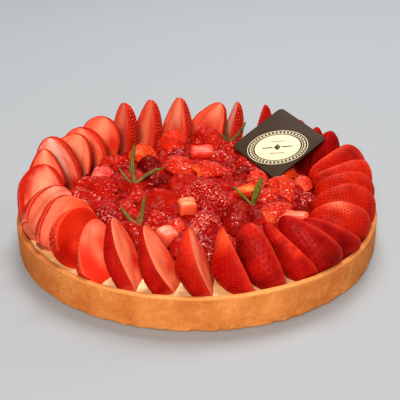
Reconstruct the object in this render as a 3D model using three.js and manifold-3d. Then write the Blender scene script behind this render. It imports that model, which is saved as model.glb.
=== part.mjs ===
// A strawberry tart: a straight-sided shortcrust shell filled with pastry cream, a ring of strawberry halves that
// stand on the cream, a glazed heap of cut strawberries inside the ring, four rosemary tips and a chocolate plaque.
// Millimetres, +Z up. The origin is on the table under the middle of the shell, and the front looks along -Y.
import * as THREE from "three";
import { mergeVertices } from "three/addons/utils/BufferGeometryUtils.js";
import Module from "manifold-3d";

// Driving dimensions
const shellRadius = 120;
const shellHeight = 22.5;
const wallThickness = 3.8;
const floorThickness = 4;
const creamTop = 18;
const clearance = 0.3; // left between pieces that rest on each other
const berrySink = 2.5; // how deep a standing half is pressed into the cream
const plaqueSide = 48;
const plaqueThickness = 1.6;
const plaqueCorner = 3.5;

const degree = Math.PI / 180;
const up = new THREE.Vector3(0, 0, 1);
const wasm = await Module();
wasm.setup();

// ---------------------------------------------------------------- small tools

// A repeatable stream of numbers from 0 to 1.
function randomStream(seed) {
  let state = seed >>> 0;
  return () => {
    state = (Math.imul(state, 1664525) + 1013904223) >>> 0;
    return state / 4294967296;
  };
}

// A closed geometry as a solid that can be cut and joined.
function solidFrom(geometry) {
  const bare = new THREE.BufferGeometry();
  bare.setAttribute("position", geometry.getAttribute("position"));
  bare.setIndex(geometry.index);
  const merged = mergeVertices(bare, 1e-3);
  const vertProperties = new Float32Array(merged.getAttribute("position").array);
  const triVerts = new Uint32Array(merged.index.array);
  return new wasm.Manifold(new wasm.Mesh({ numProp: 3, vertProperties, triVerts }));
}

function geometryFrom(solid) {
  const mesh = solid.getMesh();
  const geometry = new THREE.BufferGeometry();
  geometry.setAttribute("position", new THREE.BufferAttribute(new Float32Array(mesh.vertProperties), 3));
  geometry.setIndex(new THREE.BufferAttribute(new Uint32Array(mesh.triVerts), 1));
  geometry.computeVertexNormals();
  return geometry;
}

// A closed skin over rings of equal count, each anticlockwise seen from the last ring.
function loft(rings) {
  const count = rings[0].length;
  const positions = rings.flat().flatMap((point) => point.toArray());
  const faces = [];
  for (let level = 0; level < rings.length - 1; level++) {
    for (let side = 0; side < count; side++) {
      const a = level * count + side;
      const b = level * count + ((side + 1) % count);
      faces.push(a, b, b + count, a, b + count, a + count);
    }
  }
  const last = (rings.length - 1) * count;
  for (let side = 1; side < count - 1; side++) {
    faces.push(0, side + 1, side, last, last + side, last + side + 1);
  }
  const geometry = new THREE.BufferGeometry();
  geometry.setAttribute("position", new THREE.Float32BufferAttribute(positions, 3));
  geometry.setIndex(faces);
  return geometry;
}

// A turned form whose radius and height may wander with the angle.
function turned(profile, segments, wander) {
  const geometry = new THREE.LatheGeometry(profile.map(([r, z]) => new THREE.Vector2(r, z)), segments);
  geometry.rotateX(Math.PI / 2);
  const position = geometry.getAttribute("position");
  const point = new THREE.Vector3();
  for (let i = 0; i < position.count; i++) {
    point.fromBufferAttribute(position, i);
    const [outward, upward] = wander(Math.hypot(point.x, point.y), point.z, Math.atan2(point.y, point.x));
    const stretch = 1 + outward / Math.max(Math.hypot(point.x, point.y), 1);
    position.setXYZ(i, point.x * stretch, point.y * stretch, point.z + upward);
  }
  return geometry;
}

// ---------------------------------------------------------------- the shell and its cream

const pastry = new THREE.MeshStandardMaterial({ color: 0xd98a4a, roughness: 0.85, metalness: 0 });
const creamFinish = new THREE.MeshStandardMaterial({ color: 0xf2d9a8, roughness: 0.45, metalness: 0 });

const innerRadius = shellRadius - wallThickness;

// Baked dough: the rim dips and swells by half a millimetre, and the foot is ragged where it left its ring.
function doughWander(radius, height, angle) {
  if (radius < innerRadius - 6) return [0, 0];
  const slow = 0.3 * Math.sin(5 * angle + 0.7) + 0.2 * Math.sin(11 * angle + 2.1);
  const ragged = 0.35 * Math.sin(31 * angle) + 0.3 * Math.sin(47 * angle + 1.3);
  if (height < 0.1) return [Math.min(ragged, 0) - 0.2, 0];
  if (height < 3) return [0.5 * ragged - 0.4, 0.4 * ragged];
  if (height > shellHeight - 1.2) return [0.5 * Math.min(slow, 0), slow];
  return [radius > shellRadius - 1.5 ? Math.min(slow, 0) : 0, 0];
}

const shellProfile = [
  [0, 0],
  [shellRadius - 1.2, 0],
  [shellRadius, 1.4],
  [shellRadius, shellHeight * 0.5],
  [shellRadius, shellHeight - 1],
  [shellRadius - 1.2, shellHeight],
  [innerRadius + 0.9, shellHeight],
  [innerRadius, shellHeight - 1.2],
  [innerRadius, floorThickness],
  [0, floorThickness],
];
const shellSegments = 88;
const shell = solidFrom(turned(shellProfile, shellSegments, doughWander));

// Cream spread to just under the rim, with a low wave where it shows between the berries.
function creamWander(radius, height, angle) {
  if (height < creamTop - 1 || radius < 90) return [0, 0];
  return [0, -0.35 + 0.35 * Math.sin(17 * angle + radius)];
}

const creamRadius = innerRadius - clearance;
const creamProfile = [
  [0, floorThickness + clearance],
  [creamRadius, floorThickness + clearance],
  [creamRadius, creamTop - 0.9],
  [creamRadius - 2, creamTop],
  [96, creamTop],
  [0, creamTop],
];
const cream = solidFrom(turned(creamProfile, shellSegments / 2, creamWander));

// ---------------------------------------------------------------- a strawberry and its cuts

// Radius of a strawberry at a share of its length, from the cut calyx to the tip, as a share of its widest. It is
// widest at a share of its length, the calyx end is as wide as the shoulder says, and a larger bluntness keeps it
// wide nearer to the tip.
function berryRadius(share, { shoulder = 0.6, blunt = 1.75, widest = 0.3 }) {
  if (share < widest) return Math.sqrt(1 - (1 - shoulder ** 2) * ((widest - share) / widest) ** 2);
  const towardsTip = (share - widest) / (1 - widest);
  return Math.max((1 - towardsTip ** blunt) ** 0.8, 0.07);
}

// Half a strawberry, or a length of it: +Z is its axis and the skin runs from +X round +Y to -X.
function berryPart({ tall, wide, thick, from = 0, to = 1, sides, steps, ...outline }) {
  const rings = [];
  for (let step = 0; step <= steps; step++) {
    const share = from + (to - from) * 0.5 * (1 - Math.cos((Math.PI * step) / steps));
    const radius = berryRadius(share, outline);
    const ring = [new THREE.Vector3(0, 0, share * tall)];
    for (let side = 0; side <= sides; side++) {
      const angle = (Math.PI * side) / sides;
      const x = 0.5 * wide * radius * Math.cos(angle);
      const y = thick * radius * Math.sin(angle);
      ring.push(new THREE.Vector3(x, y, share * tall));
    }
    rings.push(ring);
  }
  return loft(rings);
}

// ---------------------------------------------------------------- the ring of standing halves

const berrySkin = new THREE.MeshStandardMaterial({ color: 0xd21f16, roughness: 0.25, metalness: 0 });

// Each half in turn, anticlockwise from the front: its place round the ring, its length and width, how far it leans
// to the middle and back onto its skin, and how far its cut face is rolled outwards, in degrees. Where the lean
// is large, the half lies on its edge with its tip to the middle.
const ringBerries = [
  { at: -84.5, tall: 42, wide: 30.5, lean: 18, tilt: 18, roll: 15, blunt: 1.5, widest: 0.5 },
  { at: -72, tall: 41, wide: 33.5, lean: 39, tilt: 15, roll: 20, blunt: 1.4, shoulder: 0.7, widest: 0.46 },
  { at: -65, tall: 42, wide: 24.5, lean: 35, tilt: 12, roll: -18, blunt: 4, widest: 0.36 },
  { at: -52.5, tall: 46, wide: 22, lean: 30, tilt: 26, roll: -2, blunt: 1.4, shoulder: 0.55, widest: 0.2 },
  { at: -43, tall: 44.5, wide: 32.5, lean: 35, tilt: 25, roll: -8, blunt: 1.9, shoulder: 0.5, widest: 0.26 },
  { at: -31, tall: 43, wide: 32.5, lean: 34, tilt: 36, roll: 1, blunt: 2.2, shoulder: 0.55, widest: 0.26 },
  { at: -21.5, tall: 38, wide: 31.5, lean: 72, tilt: 31, roll: -15, blunt: 2.5, widest: 0.48 },
  { at: -11.5, tall: 39.5, wide: 33.5, lean: 75, tilt: 25, roll: -14, blunt: 2, shoulder: 0.7, widest: 0.44 },
  { at: -2, tall: 38, wide: 34, lean: 75, tilt: 18, roll: -2, blunt: 2.5, shoulder: 0.7 },
  { at: 7.3, tall: 37, wide: 34, lean: 80, tilt: 12, roll: 8, blunt: 1.6, shoulder: 0.95, widest: 0.2 },
  { at: 18, tall: 39, wide: 36.5, lean: 80, tilt: 19, roll: 9, blunt: 1.4, shoulder: 0.95, widest: 0.2 },
  { at: 29.5, tall: 46, wide: 23, lean: 10, tilt: 16, roll: 4, blunt: 4, widest: 0.2 },
  { at: 37, tall: 43, wide: 26, lean: 8, tilt: 14, roll: 0 },
  { at: 44.5, tall: 44, wide: 26, lean: 12, tilt: 10, roll: 0 },
  { at: 53.5, tall: 45, wide: 26, lean: 10, tilt: 10, roll: 0 },
  { at: 63.5, tall: 47, wide: 26, lean: 5, tilt: 9, roll: 0 },
  { at: 79.5, tall: 46.5, wide: 24.5, lean: 4, tilt: 16, roll: -26, blunt: 2 },
  { at: 91, tall: 49, wide: 29, lean: 8, tilt: 23, roll: -46, widest: 0.38 },
  { at: 102, tall: 49.5, wide: 29.5, lean: 6, tilt: 10, roll: -36 },
  { at: 114.5, tall: 50, wide: 26.5, lean: 8, tilt: 10, roll: -22, blunt: 1.9 },
  { at: 125, tall: 50.5, wide: 26, lean: 7, tilt: 6, roll: -3, blunt: 2.4 },
  { at: 140.5, tall: 46, wide: 32, lean: 16, tilt: 11, roll: -22, blunt: 3.1, widest: 0.48 },
  { at: 149, tall: 42, wide: 37, lean: 3, tilt: 0, roll: 8, blunt: 2.5, widest: 0.44 },
  { at: 160, tall: 46.5, wide: 33.5, lean: 22, tilt: 4, roll: -2, blunt: 2.5, shoulder: 0.7, widest: 0.36 },
  { at: 168.5, tall: 49, wide: 34.5, lean: 0, tilt: -7, roll: 8, blunt: 2.6, shoulder: 0.75 },
  { at: 179.5, tall: 44, wide: 27, lean: 2, tilt: 7, roll: -1, widest: 0.44 },
  { at: -164.5, tall: 44.5, wide: 32.5, lean: 10, tilt: 34, roll: -16, blunt: 2.6, shoulder: 0.75, widest: 0.54 },
  { at: -153.5, tall: 39.5, wide: 34, lean: 68, tilt: 32, roll: 12, blunt: 3.1, widest: 0.4 },
  { at: -142.8, tall: 37, wide: 39, lean: 47, tilt: 18, roll: 14, blunt: 4.3, shoulder: 0.7, widest: 0.4 },
  { at: -132.5, tall: 35.5, wide: 35.5, lean: 64, tilt: 14, roll: 21, blunt: 3.1, shoulder: 0.5, widest: 0.4 },
  { at: -121.5, tall: 41.5, wide: 27, lean: 47, tilt: 25, roll: 28, blunt: 2.6, shoulder: 0.5 },
  { at: -107.5, tall: 45, wide: 22.5, lean: 20, tilt: 24, roll: 8, blunt: 2, shoulder: 0.7, widest: 0.46 },
  { at: -96.5, tall: 44.5, wide: 26, lean: 10, tilt: 22, roll: 17, blunt: 1.9, shoulder: 0.65, widest: 0.36 },
];
const wallGap = 0.5; // between the wall and the outermost point of a half

// The shape of one half before it is set in place.
function halfBerry({ tall, wide, shoulder, blunt, widest }) {
  return berryPart({ tall, wide, thick: wide / 2, shoulder, blunt, widest, sides: 6, steps: 8 });
}

// Stands a half on the cream with its outer side against the wall.
function standingFrame({ at, tall, wide, lean, tilt, roll, shoulder = 0.6, widest = 0.3 }) {
  const outward = new THREE.Vector3(Math.cos(at * degree), Math.sin(at * degree), 0);
  const onward = new THREE.Vector3().crossVectors(up, outward);
  const leanCos = Math.cos(lean * degree);
  const leanSin = Math.sin(lean * degree);
  const axis = up.clone().multiplyScalar(leanCos).addScaledVector(outward, -leanSin);
  axis.multiplyScalar(Math.cos(tilt * degree)).addScaledVector(onward, -Math.sin(tilt * degree));
  const skin = onward.clone().multiplyScalar(-Math.cos(roll * degree));
  skin.addScaledVector(outward, -Math.sin(roll * degree));
  skin.addScaledVector(axis, -skin.dot(axis)).normalize();
  const across = new THREE.Vector3().crossVectors(skin, axis);
  const half = wide / 2;
  const toShoulder = widest * tall;
  const reach = Math.max(shoulder * half * leanCos, half * leanCos - toShoulder * leanSin);
  const rise = Math.max(0, half * leanSin - toShoulder * leanCos);
  const foot = outward.multiplyScalar(innerRadius - wallGap - reach).setZ(creamTop - berrySink + rise);
  return new THREE.Matrix4().makeBasis(across, skin, axis).setPosition(foot);
}

// What a berry may not enter: the cream below it and the shell's wall.
const underCream = new THREE.BoxGeometry(300, 300, 100).translate(0, 0, creamTop + clearance - 50);
const wallRoom = innerRadius - 1.5 * clearance; // the wall's flats come nearer than its corners
const aroundWall = new THREE.LatheGeometry(
  [
    new THREE.Vector2(wallRoom, 0),
    new THREE.Vector2(shellRadius + 30, 0),
    new THREE.Vector2(shellRadius + 30, shellHeight + 1),
    new THREE.Vector2(wallRoom + 1.2, shellHeight + 1),
    new THREE.Vector2(wallRoom, shellHeight - 1),
    new THREE.Vector2(wallRoom, 0),
  ],
  shellSegments,
).rotateX(Math.PI / 2);
const keptClear = solidFrom(underCream).add(solidFrom(aroundWall));

// ---------------------------------------------------------------- the plaque

// A square with rounded corners, in its own plane, standing on one corner.
function plaqueOutline(side, corner) {
  const half = side / 2;
  const shape = new THREE.Shape();
  const quarter = Math.PI / 2;
  for (let turn = 0; turn < 4; turn++) {
    const middle = new THREE.Vector2(half - corner, half - corner).rotateAround(new THREE.Vector2(), turn * quarter);
    shape.absarc(middle.x, middle.y, corner, turn * quarter, (turn + 1) * quarter, false);
  }
  return shape;
}

const plaqueMiddle = new THREE.Vector3(57.5, 38, 51); // of its top face
const plaqueNormal = new THREE.Vector3(-0.25, -0.41, 0.88).normalize();
const plaqueDiagonal = new THREE.Vector3(0.96, -0.22, 0.17); // from its left corner to its right one
plaqueDiagonal.addScaledVector(plaqueNormal, -plaqueDiagonal.dot(plaqueNormal)).normalize();
const plaquePlace = new THREE.Matrix4()
  .makeBasis(plaqueDiagonal, new THREE.Vector3().crossVectors(plaqueNormal, plaqueDiagonal), plaqueNormal)
  .setPosition(plaqueMiddle);
plaquePlace.multiply(new THREE.Matrix4().makeRotationZ(45 * degree));

const chocolate = new THREE.MeshStandardMaterial({ color: 0x4a3324, roughness: 0.5, metalness: 0 });
const plaque = new THREE.ExtrudeGeometry(plaqueOutline(plaqueSide, plaqueCorner), {
  depth: plaqueThickness,
  bevelEnabled: false,
  curveSegments: 4,
})
  .translate(0, 0, -plaqueThickness)
  .applyMatrix4(plaquePlace);

// The room that the plaque takes, from just under it upwards: what is below is flattened against it.
const plaqueRoom = new THREE.ExtrudeGeometry(plaqueOutline(plaqueSide + 2, plaqueCorner), {
  depth: 40,
  bevelEnabled: false,
  curveSegments: 1,
})
  .translate(0, 0, -plaqueThickness - clearance)
  .applyMatrix4(plaquePlace);
const underPlaque = solidFrom(plaqueRoom);

// The standing halves, flattened where they meet the cream, the wall and the plaque.
const ringSolids = ringBerries.map((berry) =>
  solidFrom(halfBerry(berry).applyMatrix4(standingFrame(berry))).subtract(keptClear).subtract(underPlaque),
);

// ---------------------------------------------------------------- the heap in the middle

const heapRadius = 86;
const heapFall = 0.05; // how much the heap falls towards the front, for each millimetre

// Height of the heap's core, on which the pieces lie: a low dome that falls a little to the front.
const coreTop = (radius, y) => 33 - 4 * (radius / 80) ** 2 + heapFall * y;

const core = turned(
  [
    [0, creamTop + clearance],
    [heapRadius, creamTop + clearance],
    [heapRadius - 1, coreTop(heapRadius, 0) - 3],
    [heapRadius - 8, coreTop(heapRadius - 8, 0)],
    [55, coreTop(55, 0)],
    [0, coreTop(0, 0)],
  ],
  30,
  (radius, height, angle) => [0, height > creamTop + 1 ? heapFall * radius * Math.sin(angle) : 0],
);

// Each piece that shows: where it lies, its length and width, which way its axis points, and its roll in degrees:
// 0 is skin side up and 180 is cut side up.
const heapPieces = [
  [-74, -14, 24, 21, 80, 10],
  [-54, -10, 24, 19, 10, 0],
  [-65, 15, 19, 16, 150, 0],
  [-57, -36, 20, 16, 15, -10],
  [-60, 41, 24, 18, 130, 20],
  [-40, 53, 25, 21, 160, 25],
  [-33, 31, 22, 18, 20, 0],
  [-18, 67, 22, 19, 0, 0],
  [-14, 46, 22, 17, -20, 10],
  [-42, 13, 14, 11, 60, 150],
  [-41, 0, 20, 19, 20, 0],
  [-26, 4, 22, 17, 100, -30],
  [-36, -14, 17, 13, 80, 140],
  [-47, -25, 18, 14, 200, 160],
  [-39, -37, 17, 14, 70, 0],
  [-21, -21, 27, 20, 75, 15],
  [-23, -49, 22, 19, 30, 0],
  [-36, -57, 22, 21, 120, 10],
  [-12, -53, 19, 14, 10, 160],
  [-8, -70, 20, 15, 100, 20],
  [4, -74, 21, 16, 15, 0],
  [-9, 24, 26, 20, 40, 150],
  [-9, 4, 25, 19, 120, 0],
  [-5, -16, 20, 17, 20, 10],
  [8, 73, 24, 21, 30, 0],
  [19, 44, 19, 15, 80, 0],
  [24, 58, 20, 20, 10, 0],
  [9, 22, 26, 20, 110, 30],
  [27, 15, 25, 19, -40, -10],
  [9, -19, 31, 26, 60, 0],
  [4, -48, 23, 18, -30, 0],
  [22, -6, 21, 14, 100, -20],
  [29, -43, 29, 25, -10, 0],
  [19, -68, 19, 15, 60, 30],
  [34, -12, 18, 15, 30, 170],
  [46, -13, 16, 13, 90, 140],
  [51, -33, 24, 20, 130, 0],
  [60, -6, 26, 20, 20, 20],
  [72, -16, 20, 17, 70, 0],
  [74, 8, 17, 14, 150, 160],
  [68, -36, 20, 16, 40, 0],
  [41, -62, 21, 16, 150, 10],
  [44, 8, 24, 18, 0, 0],
  [36, 30, 24, 19, 60, 0],
  [59, 26, 24, 18, 100, 0],
  [-72, -40, 18, 15, 50, 0],
  [40, 62, 24, 18, 140, 0],
];

// Small blocks cut from the middle of a berry: where each lies, its three sizes, and its turn in degrees.
const heapBlocks = [
  [-6, -34, 11, 10, 12, 15],
  [-18, -66, 11, 11, 12, 40],
  [4, 50, 17, 12, 10, 5],
  [62, -49, 14, 7, 7, -20],
];
const intoCore = 2; // how deep the pieces are pressed into the core

const pitches = randomStream(11);

function heapPiece([x, y, long, wide, yaw, roll]) {
  const thick = 0.62 * wide;
  const pitch = 30 * pitches() - 15;
  const piece = berryPart({ tall: long, wide, thick, from: 0.02, to: 0.98, sides: 5, steps: 4 });
  piece.translate(0, -0.5 * thick, -0.45 * long);
  piece.rotateX(90 * degree);
  piece.rotateY(roll * degree);
  piece.rotateX(pitch * degree);
  piece.rotateZ(yaw * degree);
  const sunk = intoCore + pitches();
  return solidFrom(piece.translate(x, y, coreTop(Math.hypot(x, y), y) + 0.5 * thick - sunk));
}

function heapBlock([x, y, long, wide, tall, turn]) {
  const block = new THREE.BoxGeometry(long, wide, tall).rotateX(12 * degree).rotateZ(turn * degree);
  return solidFrom(block.translate(x, y, coreTop(Math.hypot(x, y), y) + 0.5 * tall - intoCore));
}

const roomMargin = 1; // how far the heap stays from the standing halves

// The room of a standing half, which stays clear of it all round.
function ringRoom(berry) {
  const { tall, wide, shoulder, blunt, widest } = berry;
  const room = berryPart({
    tall: tall + 2 * roomMargin,
    wide: wide + 3 * roomMargin,
    thick: wide / 2 + 2 * roomMargin,
    shoulder,
    blunt,
    widest,
    sides: 6,
    steps: 8,
  });
  return solidFrom(room.translate(0, -0.4 * roomMargin, -roomMargin).applyMatrix4(standingFrame(berry)));
}

// The pieces joined to the core, with the ring, the wall, the cream and the plaque cut away, and no loose scraps.
const heapParts = [solidFrom(core), ...heapPieces.map(heapPiece), ...heapBlocks.map(heapBlock)];
const trimmedHeap = ringBerries
  .reduce((rest, berry) => rest.subtract(ringRoom(berry)), heapParts.reduce((all, part) => all.add(part)))
  .subtract(keptClear)
  .subtract(underPlaque);
const heap = trimmedHeap.decompose().reduce((best, body) => (body.volume() > best.volume() ? body : best));

// ---------------------------------------------------------------- rosemary

const rosemary = new THREE.MeshStandardMaterial({ color: 0x5d7a35, roughness: 0.6, metalness: 0 });

// A needle along a gentle curve: a narrow four-sided blade that widens and comes to a blunt point.
function needle(start, end, bow, width, steps = 4) {
  const middle = start.clone().lerp(end, 0.5).add(bow);
  const line = new THREE.QuadraticBezierCurve3(start, middle, end);
  const along = end.clone().sub(start).normalize();
  const side = new THREE.Vector3().crossVectors(along, up).normalize();
  const thick = new THREE.Vector3().crossVectors(along, side).normalize();
  const rings = [];
  for (let step = 0; step <= steps; step++) {
    const share = step / steps;
    const half = 0.5 * width * (0.35 + 0.65 * Math.sin(Math.PI * (0.12 + 0.8 * share)));
    const point = line.getPoint(share);
    rings.push([
      point.clone().addScaledVector(side, half),
      point.clone().addScaledVector(thick, half * 0.55),
      point.clone().addScaledVector(side, -half),
      point.clone().addScaledVector(thick, -half * 0.55),
    ]);
  }
  return loft(rings);
}

// Each tip: where it stands on the heap, and each needle's reach to the right, back and up from there, with how far
// the needle bows out on its way.
const sprigs = [
  {
    foot: [-41, -5],
    needles: [
      { reach: [0, 12, 25], bow: [-3, 0, 0], width: 3.2 },
      { reach: [21, 8, 9], bow: [-2, 0, 4], width: 2.6 },
      { reach: [-11, 6, 11], bow: [-2, 0, -2], width: 2 },
      { reach: [-4, 6, 13], bow: [-1, 0, 0], width: 1.6 },
    ],
  },
  {
    foot: [-36, -60],
    needles: [
      { reach: [-10, 6, 10], bow: [-2, 0, -2], width: 3 },
      { reach: [2, 7, 15], bow: [0, 0, 0], width: 3 },
    ],
  },
  {
    foot: [35, -38],
    needles: [
      { reach: [-13, 7, 11], bow: [0, 0, 1], width: 1.8 },
      { reach: [4, 6, 17], bow: [-1, 0, 0], width: 3.4 },
    ],
  },
  {
    foot: [23, 58],
    needles: [
      { reach: [-1, 4, 17], bow: [-1, 0, 0], width: 2.4 },
      { reach: [13, 4, 15], bow: [2, 0, -2], width: 2.4 },
      { reach: [-6, 2, 7], bow: [0, 0, 1], width: 1.6 },
    ],
  },
];

function sprigSolid({ foot, needles }) {
  const start = new THREE.Vector3(foot[0], foot[1], 0);
  const blades = needles.map(({ reach, bow, width }) => {
    const end = start.clone().add(new THREE.Vector3(...reach));
    return solidFrom(needle(start, end, new THREE.Vector3(...bow), width));
  });
  return blades.reduce((all, blade) => all.add(blade));
}

// Lowers a piece from above until it just stands clear of what is under it.
function setDown(solid, under) {
  const step = 0.4;
  let height = 60;
  while (height > 0 && solid.translate([0, 0, height - step]).intersect(under).volume() < 1e-4) height -= step;
  return solid.translate([0, 0, height + clearance]);
}

// ---------------------------------------------------------------- the whole tart

const tart = new THREE.Group();

function addPiece(name, geometry, material) {
  const mesh = new THREE.Mesh(geometry, material);
  mesh.name = name;
  tart.add(mesh);
}

const twoDigits = (index) => String(index + 1).padStart(2, "0");

addPiece("pastry_shell", geometryFrom(shell), pastry);
addPiece("pastry_cream", geometryFrom(cream), creamFinish);
ringSolids.forEach((berry, index) => {
  addPiece("berry_half_" + twoDigits(index), geometryFrom(berry), berrySkin);
});
addPiece("berry_heap", geometryFrom(heap), berrySkin);
const underSprigs = ringSolids.reduce((all, berry) => all.add(berry), heap);
sprigs.forEach((sprig, index) => {
  const tip = setDown(sprigSolid(sprig), underSprigs);
  addPiece("rosemary_" + twoDigits(index), geometryFrom(tip), rosemary);
});
addPiece("plaque", plaque, chocolate);

export default tart;
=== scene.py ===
# A strawberry tart on a pale table: a shortcrust shell with pastry cream, a ring of standing strawberry
# halves, a glazed heap of cut strawberries, four rosemary tips and a chocolate plaque with an ivory oval.
# Metres, +Z up; sizes in millimetres are multiplied by mm. The origin is under the middle of the shell.
import math
import bpy
import numpy as np
from mathutils import Matrix, Vector, noise


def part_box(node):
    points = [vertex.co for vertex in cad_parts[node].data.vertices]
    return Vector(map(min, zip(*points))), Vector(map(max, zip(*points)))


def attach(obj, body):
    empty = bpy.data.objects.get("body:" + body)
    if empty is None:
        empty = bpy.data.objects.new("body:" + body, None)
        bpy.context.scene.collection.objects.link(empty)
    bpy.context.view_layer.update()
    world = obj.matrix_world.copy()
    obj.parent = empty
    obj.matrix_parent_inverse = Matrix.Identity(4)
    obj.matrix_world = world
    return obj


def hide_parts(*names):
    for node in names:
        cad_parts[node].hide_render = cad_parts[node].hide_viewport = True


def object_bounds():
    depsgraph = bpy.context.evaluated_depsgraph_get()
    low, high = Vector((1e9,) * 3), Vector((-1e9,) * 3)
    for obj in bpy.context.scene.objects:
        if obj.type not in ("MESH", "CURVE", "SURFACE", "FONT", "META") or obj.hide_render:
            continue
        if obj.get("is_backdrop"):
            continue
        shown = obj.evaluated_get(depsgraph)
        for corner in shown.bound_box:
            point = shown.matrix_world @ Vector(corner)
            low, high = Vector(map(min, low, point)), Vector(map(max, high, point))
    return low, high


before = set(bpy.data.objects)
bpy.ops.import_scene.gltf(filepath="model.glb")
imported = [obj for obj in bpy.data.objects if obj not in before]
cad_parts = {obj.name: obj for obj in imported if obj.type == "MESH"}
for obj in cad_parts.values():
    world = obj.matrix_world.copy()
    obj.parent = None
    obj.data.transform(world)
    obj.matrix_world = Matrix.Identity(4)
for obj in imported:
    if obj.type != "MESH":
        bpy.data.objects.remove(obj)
cad_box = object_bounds()
mm = 0.001

# ---- The table, the light and the camera -------------------------------------------------------------------
# A plain pale table top, lit by a window-like panel in front, a weaker soft panel overhead and a weak one at
# the back right. The camera looks down on the tart from the front, as someone who sits at the table does.


def finish_of(name, base, roughness, **sockets):
    """A Principled finish: base colour, roughness, and any other socket by its name with _ for a space."""
    finish = bpy.data.materials.new(name)
    finish.use_nodes = True
    shader = finish.node_tree.nodes["Principled BSDF"]
    shader.inputs["Base Color"].default_value = (*base, 1)
    shader.inputs["Roughness"].default_value = roughness
    for socket, value in sockets.items():
        shader.inputs[socket.replace("_", " ")].default_value = value
    return finish


def add_piece(name, points, faces, finishes, finish_index=None):
    """A smooth mesh object from points in metres; finish_index says which of the finishes each face has."""
    mesh = bpy.data.meshes.new(name)
    mesh.from_pydata([tuple(point) for point in points], [], [tuple(face) for face in faces])
    for finish in finishes:
        mesh.materials.append(finish)
    mesh.polygons.foreach_set("use_smooth", [True] * len(mesh.polygons))
    if finish_index is not None:
        mesh.polygons.foreach_set("material_index", finish_index)
    mesh.update()
    piece = bpy.data.objects.new(name, mesh)
    bpy.context.scene.collection.objects.link(piece)
    return piece


table_half = 4.0
table_corners = [(-1, -1), (1, -1), (1, 1), (-1, 1)]
table_top = cad_box[0].z - 0.05 * mm
table_finish = finish_of("pale_table", (0.38, 0.395, 0.415), 0.8, Specular_IOR_Level=0.1)
table = add_piece(
    "table_top",
    [(table_half * x, table_half * y, table_top) for x, y in table_corners],
    [(0, 1, 2, 3)],
    [table_finish],
)
table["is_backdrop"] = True


def soft_panel(name, place, size, power, tint, aim=(0, 0, 0.03)):
    """A rectangular area light at a place, turned to the aim."""
    data = bpy.data.lights.new(name, "AREA")
    data.shape = "RECTANGLE"
    data.size, data.size_y = size
    data.energy = power
    data.color = tint
    panel = bpy.data.objects.new(name, data)
    panel.location = place
    panel.rotation_euler = (Vector(aim) - Vector(place)).to_track_quat("-Z", "Y").to_euler()
    bpy.context.scene.collection.objects.link(panel)


soft_panel("front_window", (-0.2, -2.0, 1.5), (0.9, 0.7), 52, (1, 0.96, 0.9))
soft_panel("overhead", (0.1, 0.8, 1.6), (0.9, 0.9), 20, (1, 0.98, 0.95))
soft_panel("side_window", (1.4, 0.9, 0.9), (0.6, 0.6), 4, (1, 0.98, 0.96))

world = bpy.data.worlds.new("room")
world.use_nodes = True
world.node_tree.nodes["Background"].inputs["Color"].default_value = (0.9, 0.95, 1, 1)
world.node_tree.nodes["Background"].inputs["Strength"].default_value = 0.15
bpy.context.scene.world = world
bpy.context.scene.view_settings.view_transform = "Standard"
bpy.context.scene.view_settings.look = "High Contrast"

camera_elevation = math.radians(25.9)
camera_distance = 542.3 * mm
camera_aim = Vector((2.16, 0, 24.12)) * mm
camera_roll = math.radians(-0.23)
camera_data = bpy.data.cameras.new("camera")
camera_data.sensor_width = 36
camera_data.lens = 72
camera_data.clip_start, camera_data.clip_end = 0.02, 20
camera = bpy.data.objects.new("camera", camera_data)
camera_back = Vector((0, -math.cos(camera_elevation), math.sin(camera_elevation)))
camera.location = camera_aim + camera_distance * camera_back
camera.rotation_euler = (-camera_back).to_track_quat("-Z", "Y").to_euler()
camera.rotation_euler.rotate_axis("Z", camera_roll)
bpy.context.scene.collection.objects.link(camera)
bpy.context.scene.camera = camera

# ---- The shortcrust shell ----------------------------------------------------------------------------------
# Sweet dough pressed into a straight-sided ring and baked to a golden brown. Its foot is ragged where the
# ring stood, its rim dips and swells a little, and its wall has small pits and pale flecks of butter.

shell_radius = 120 * mm
shell_height = 22.5 * mm
wall_thickness = 3.8 * mm
floor_thickness = 4 * mm
cream_top = 18 * mm
inner_radius = shell_radius - wall_thickness


def repeatable(seed):
    """A stream of numbers from 0 to 1 that is the same in each run."""
    state = seed
    while True:
        state = (state * 1664525 + 1013904223) % 2**32
        yield state / 2**32


def set_values(piece, name, values):
    """Stores one number for each point, for the finish to read."""
    attribute = piece.data.attributes.new(name, "FLOAT", "POINT")
    attribute.data.foreach_set("value", np.asarray(values, np.float32))


def ride_tart(piece, slot, *nodes):
    """Fixes a finished piece to the tart and hides the frame nodes that it stands for. Its slot is not used.
    """
    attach(piece, "root")
    if nodes:
        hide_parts(*nodes)


def ring_faces(rows, columns):
    """Quads of a grid that closes round its columns. They face out where each row runs anticlockwise, as seen
    from the last one."""
    row, column = np.meshgrid(np.arange(rows - 1), np.arange(columns), indexing="ij")
    here = row * columns + column
    beside = row * columns + (column + 1) % columns
    return np.stack([here, beside, beside + columns, here + columns], -1).reshape(-1, 4)


def capped_faces(rows, columns):
    """The quads of such a grid, and triangles that close its first and last rows at a pole. The two poles are
    the points after the grid's own."""
    pole = rows * columns
    last = (rows - 1) * columns
    side = np.arange(columns)
    turn = (side + 1) % columns
    ends = [(pole, b, a) for a, b in zip(side, turn)]
    ends += [(last + a, last + b, pole + 1) for a, b in zip(side, turn)]
    return [tuple(face) for face in ring_faces(rows, columns)] + ends


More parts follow.
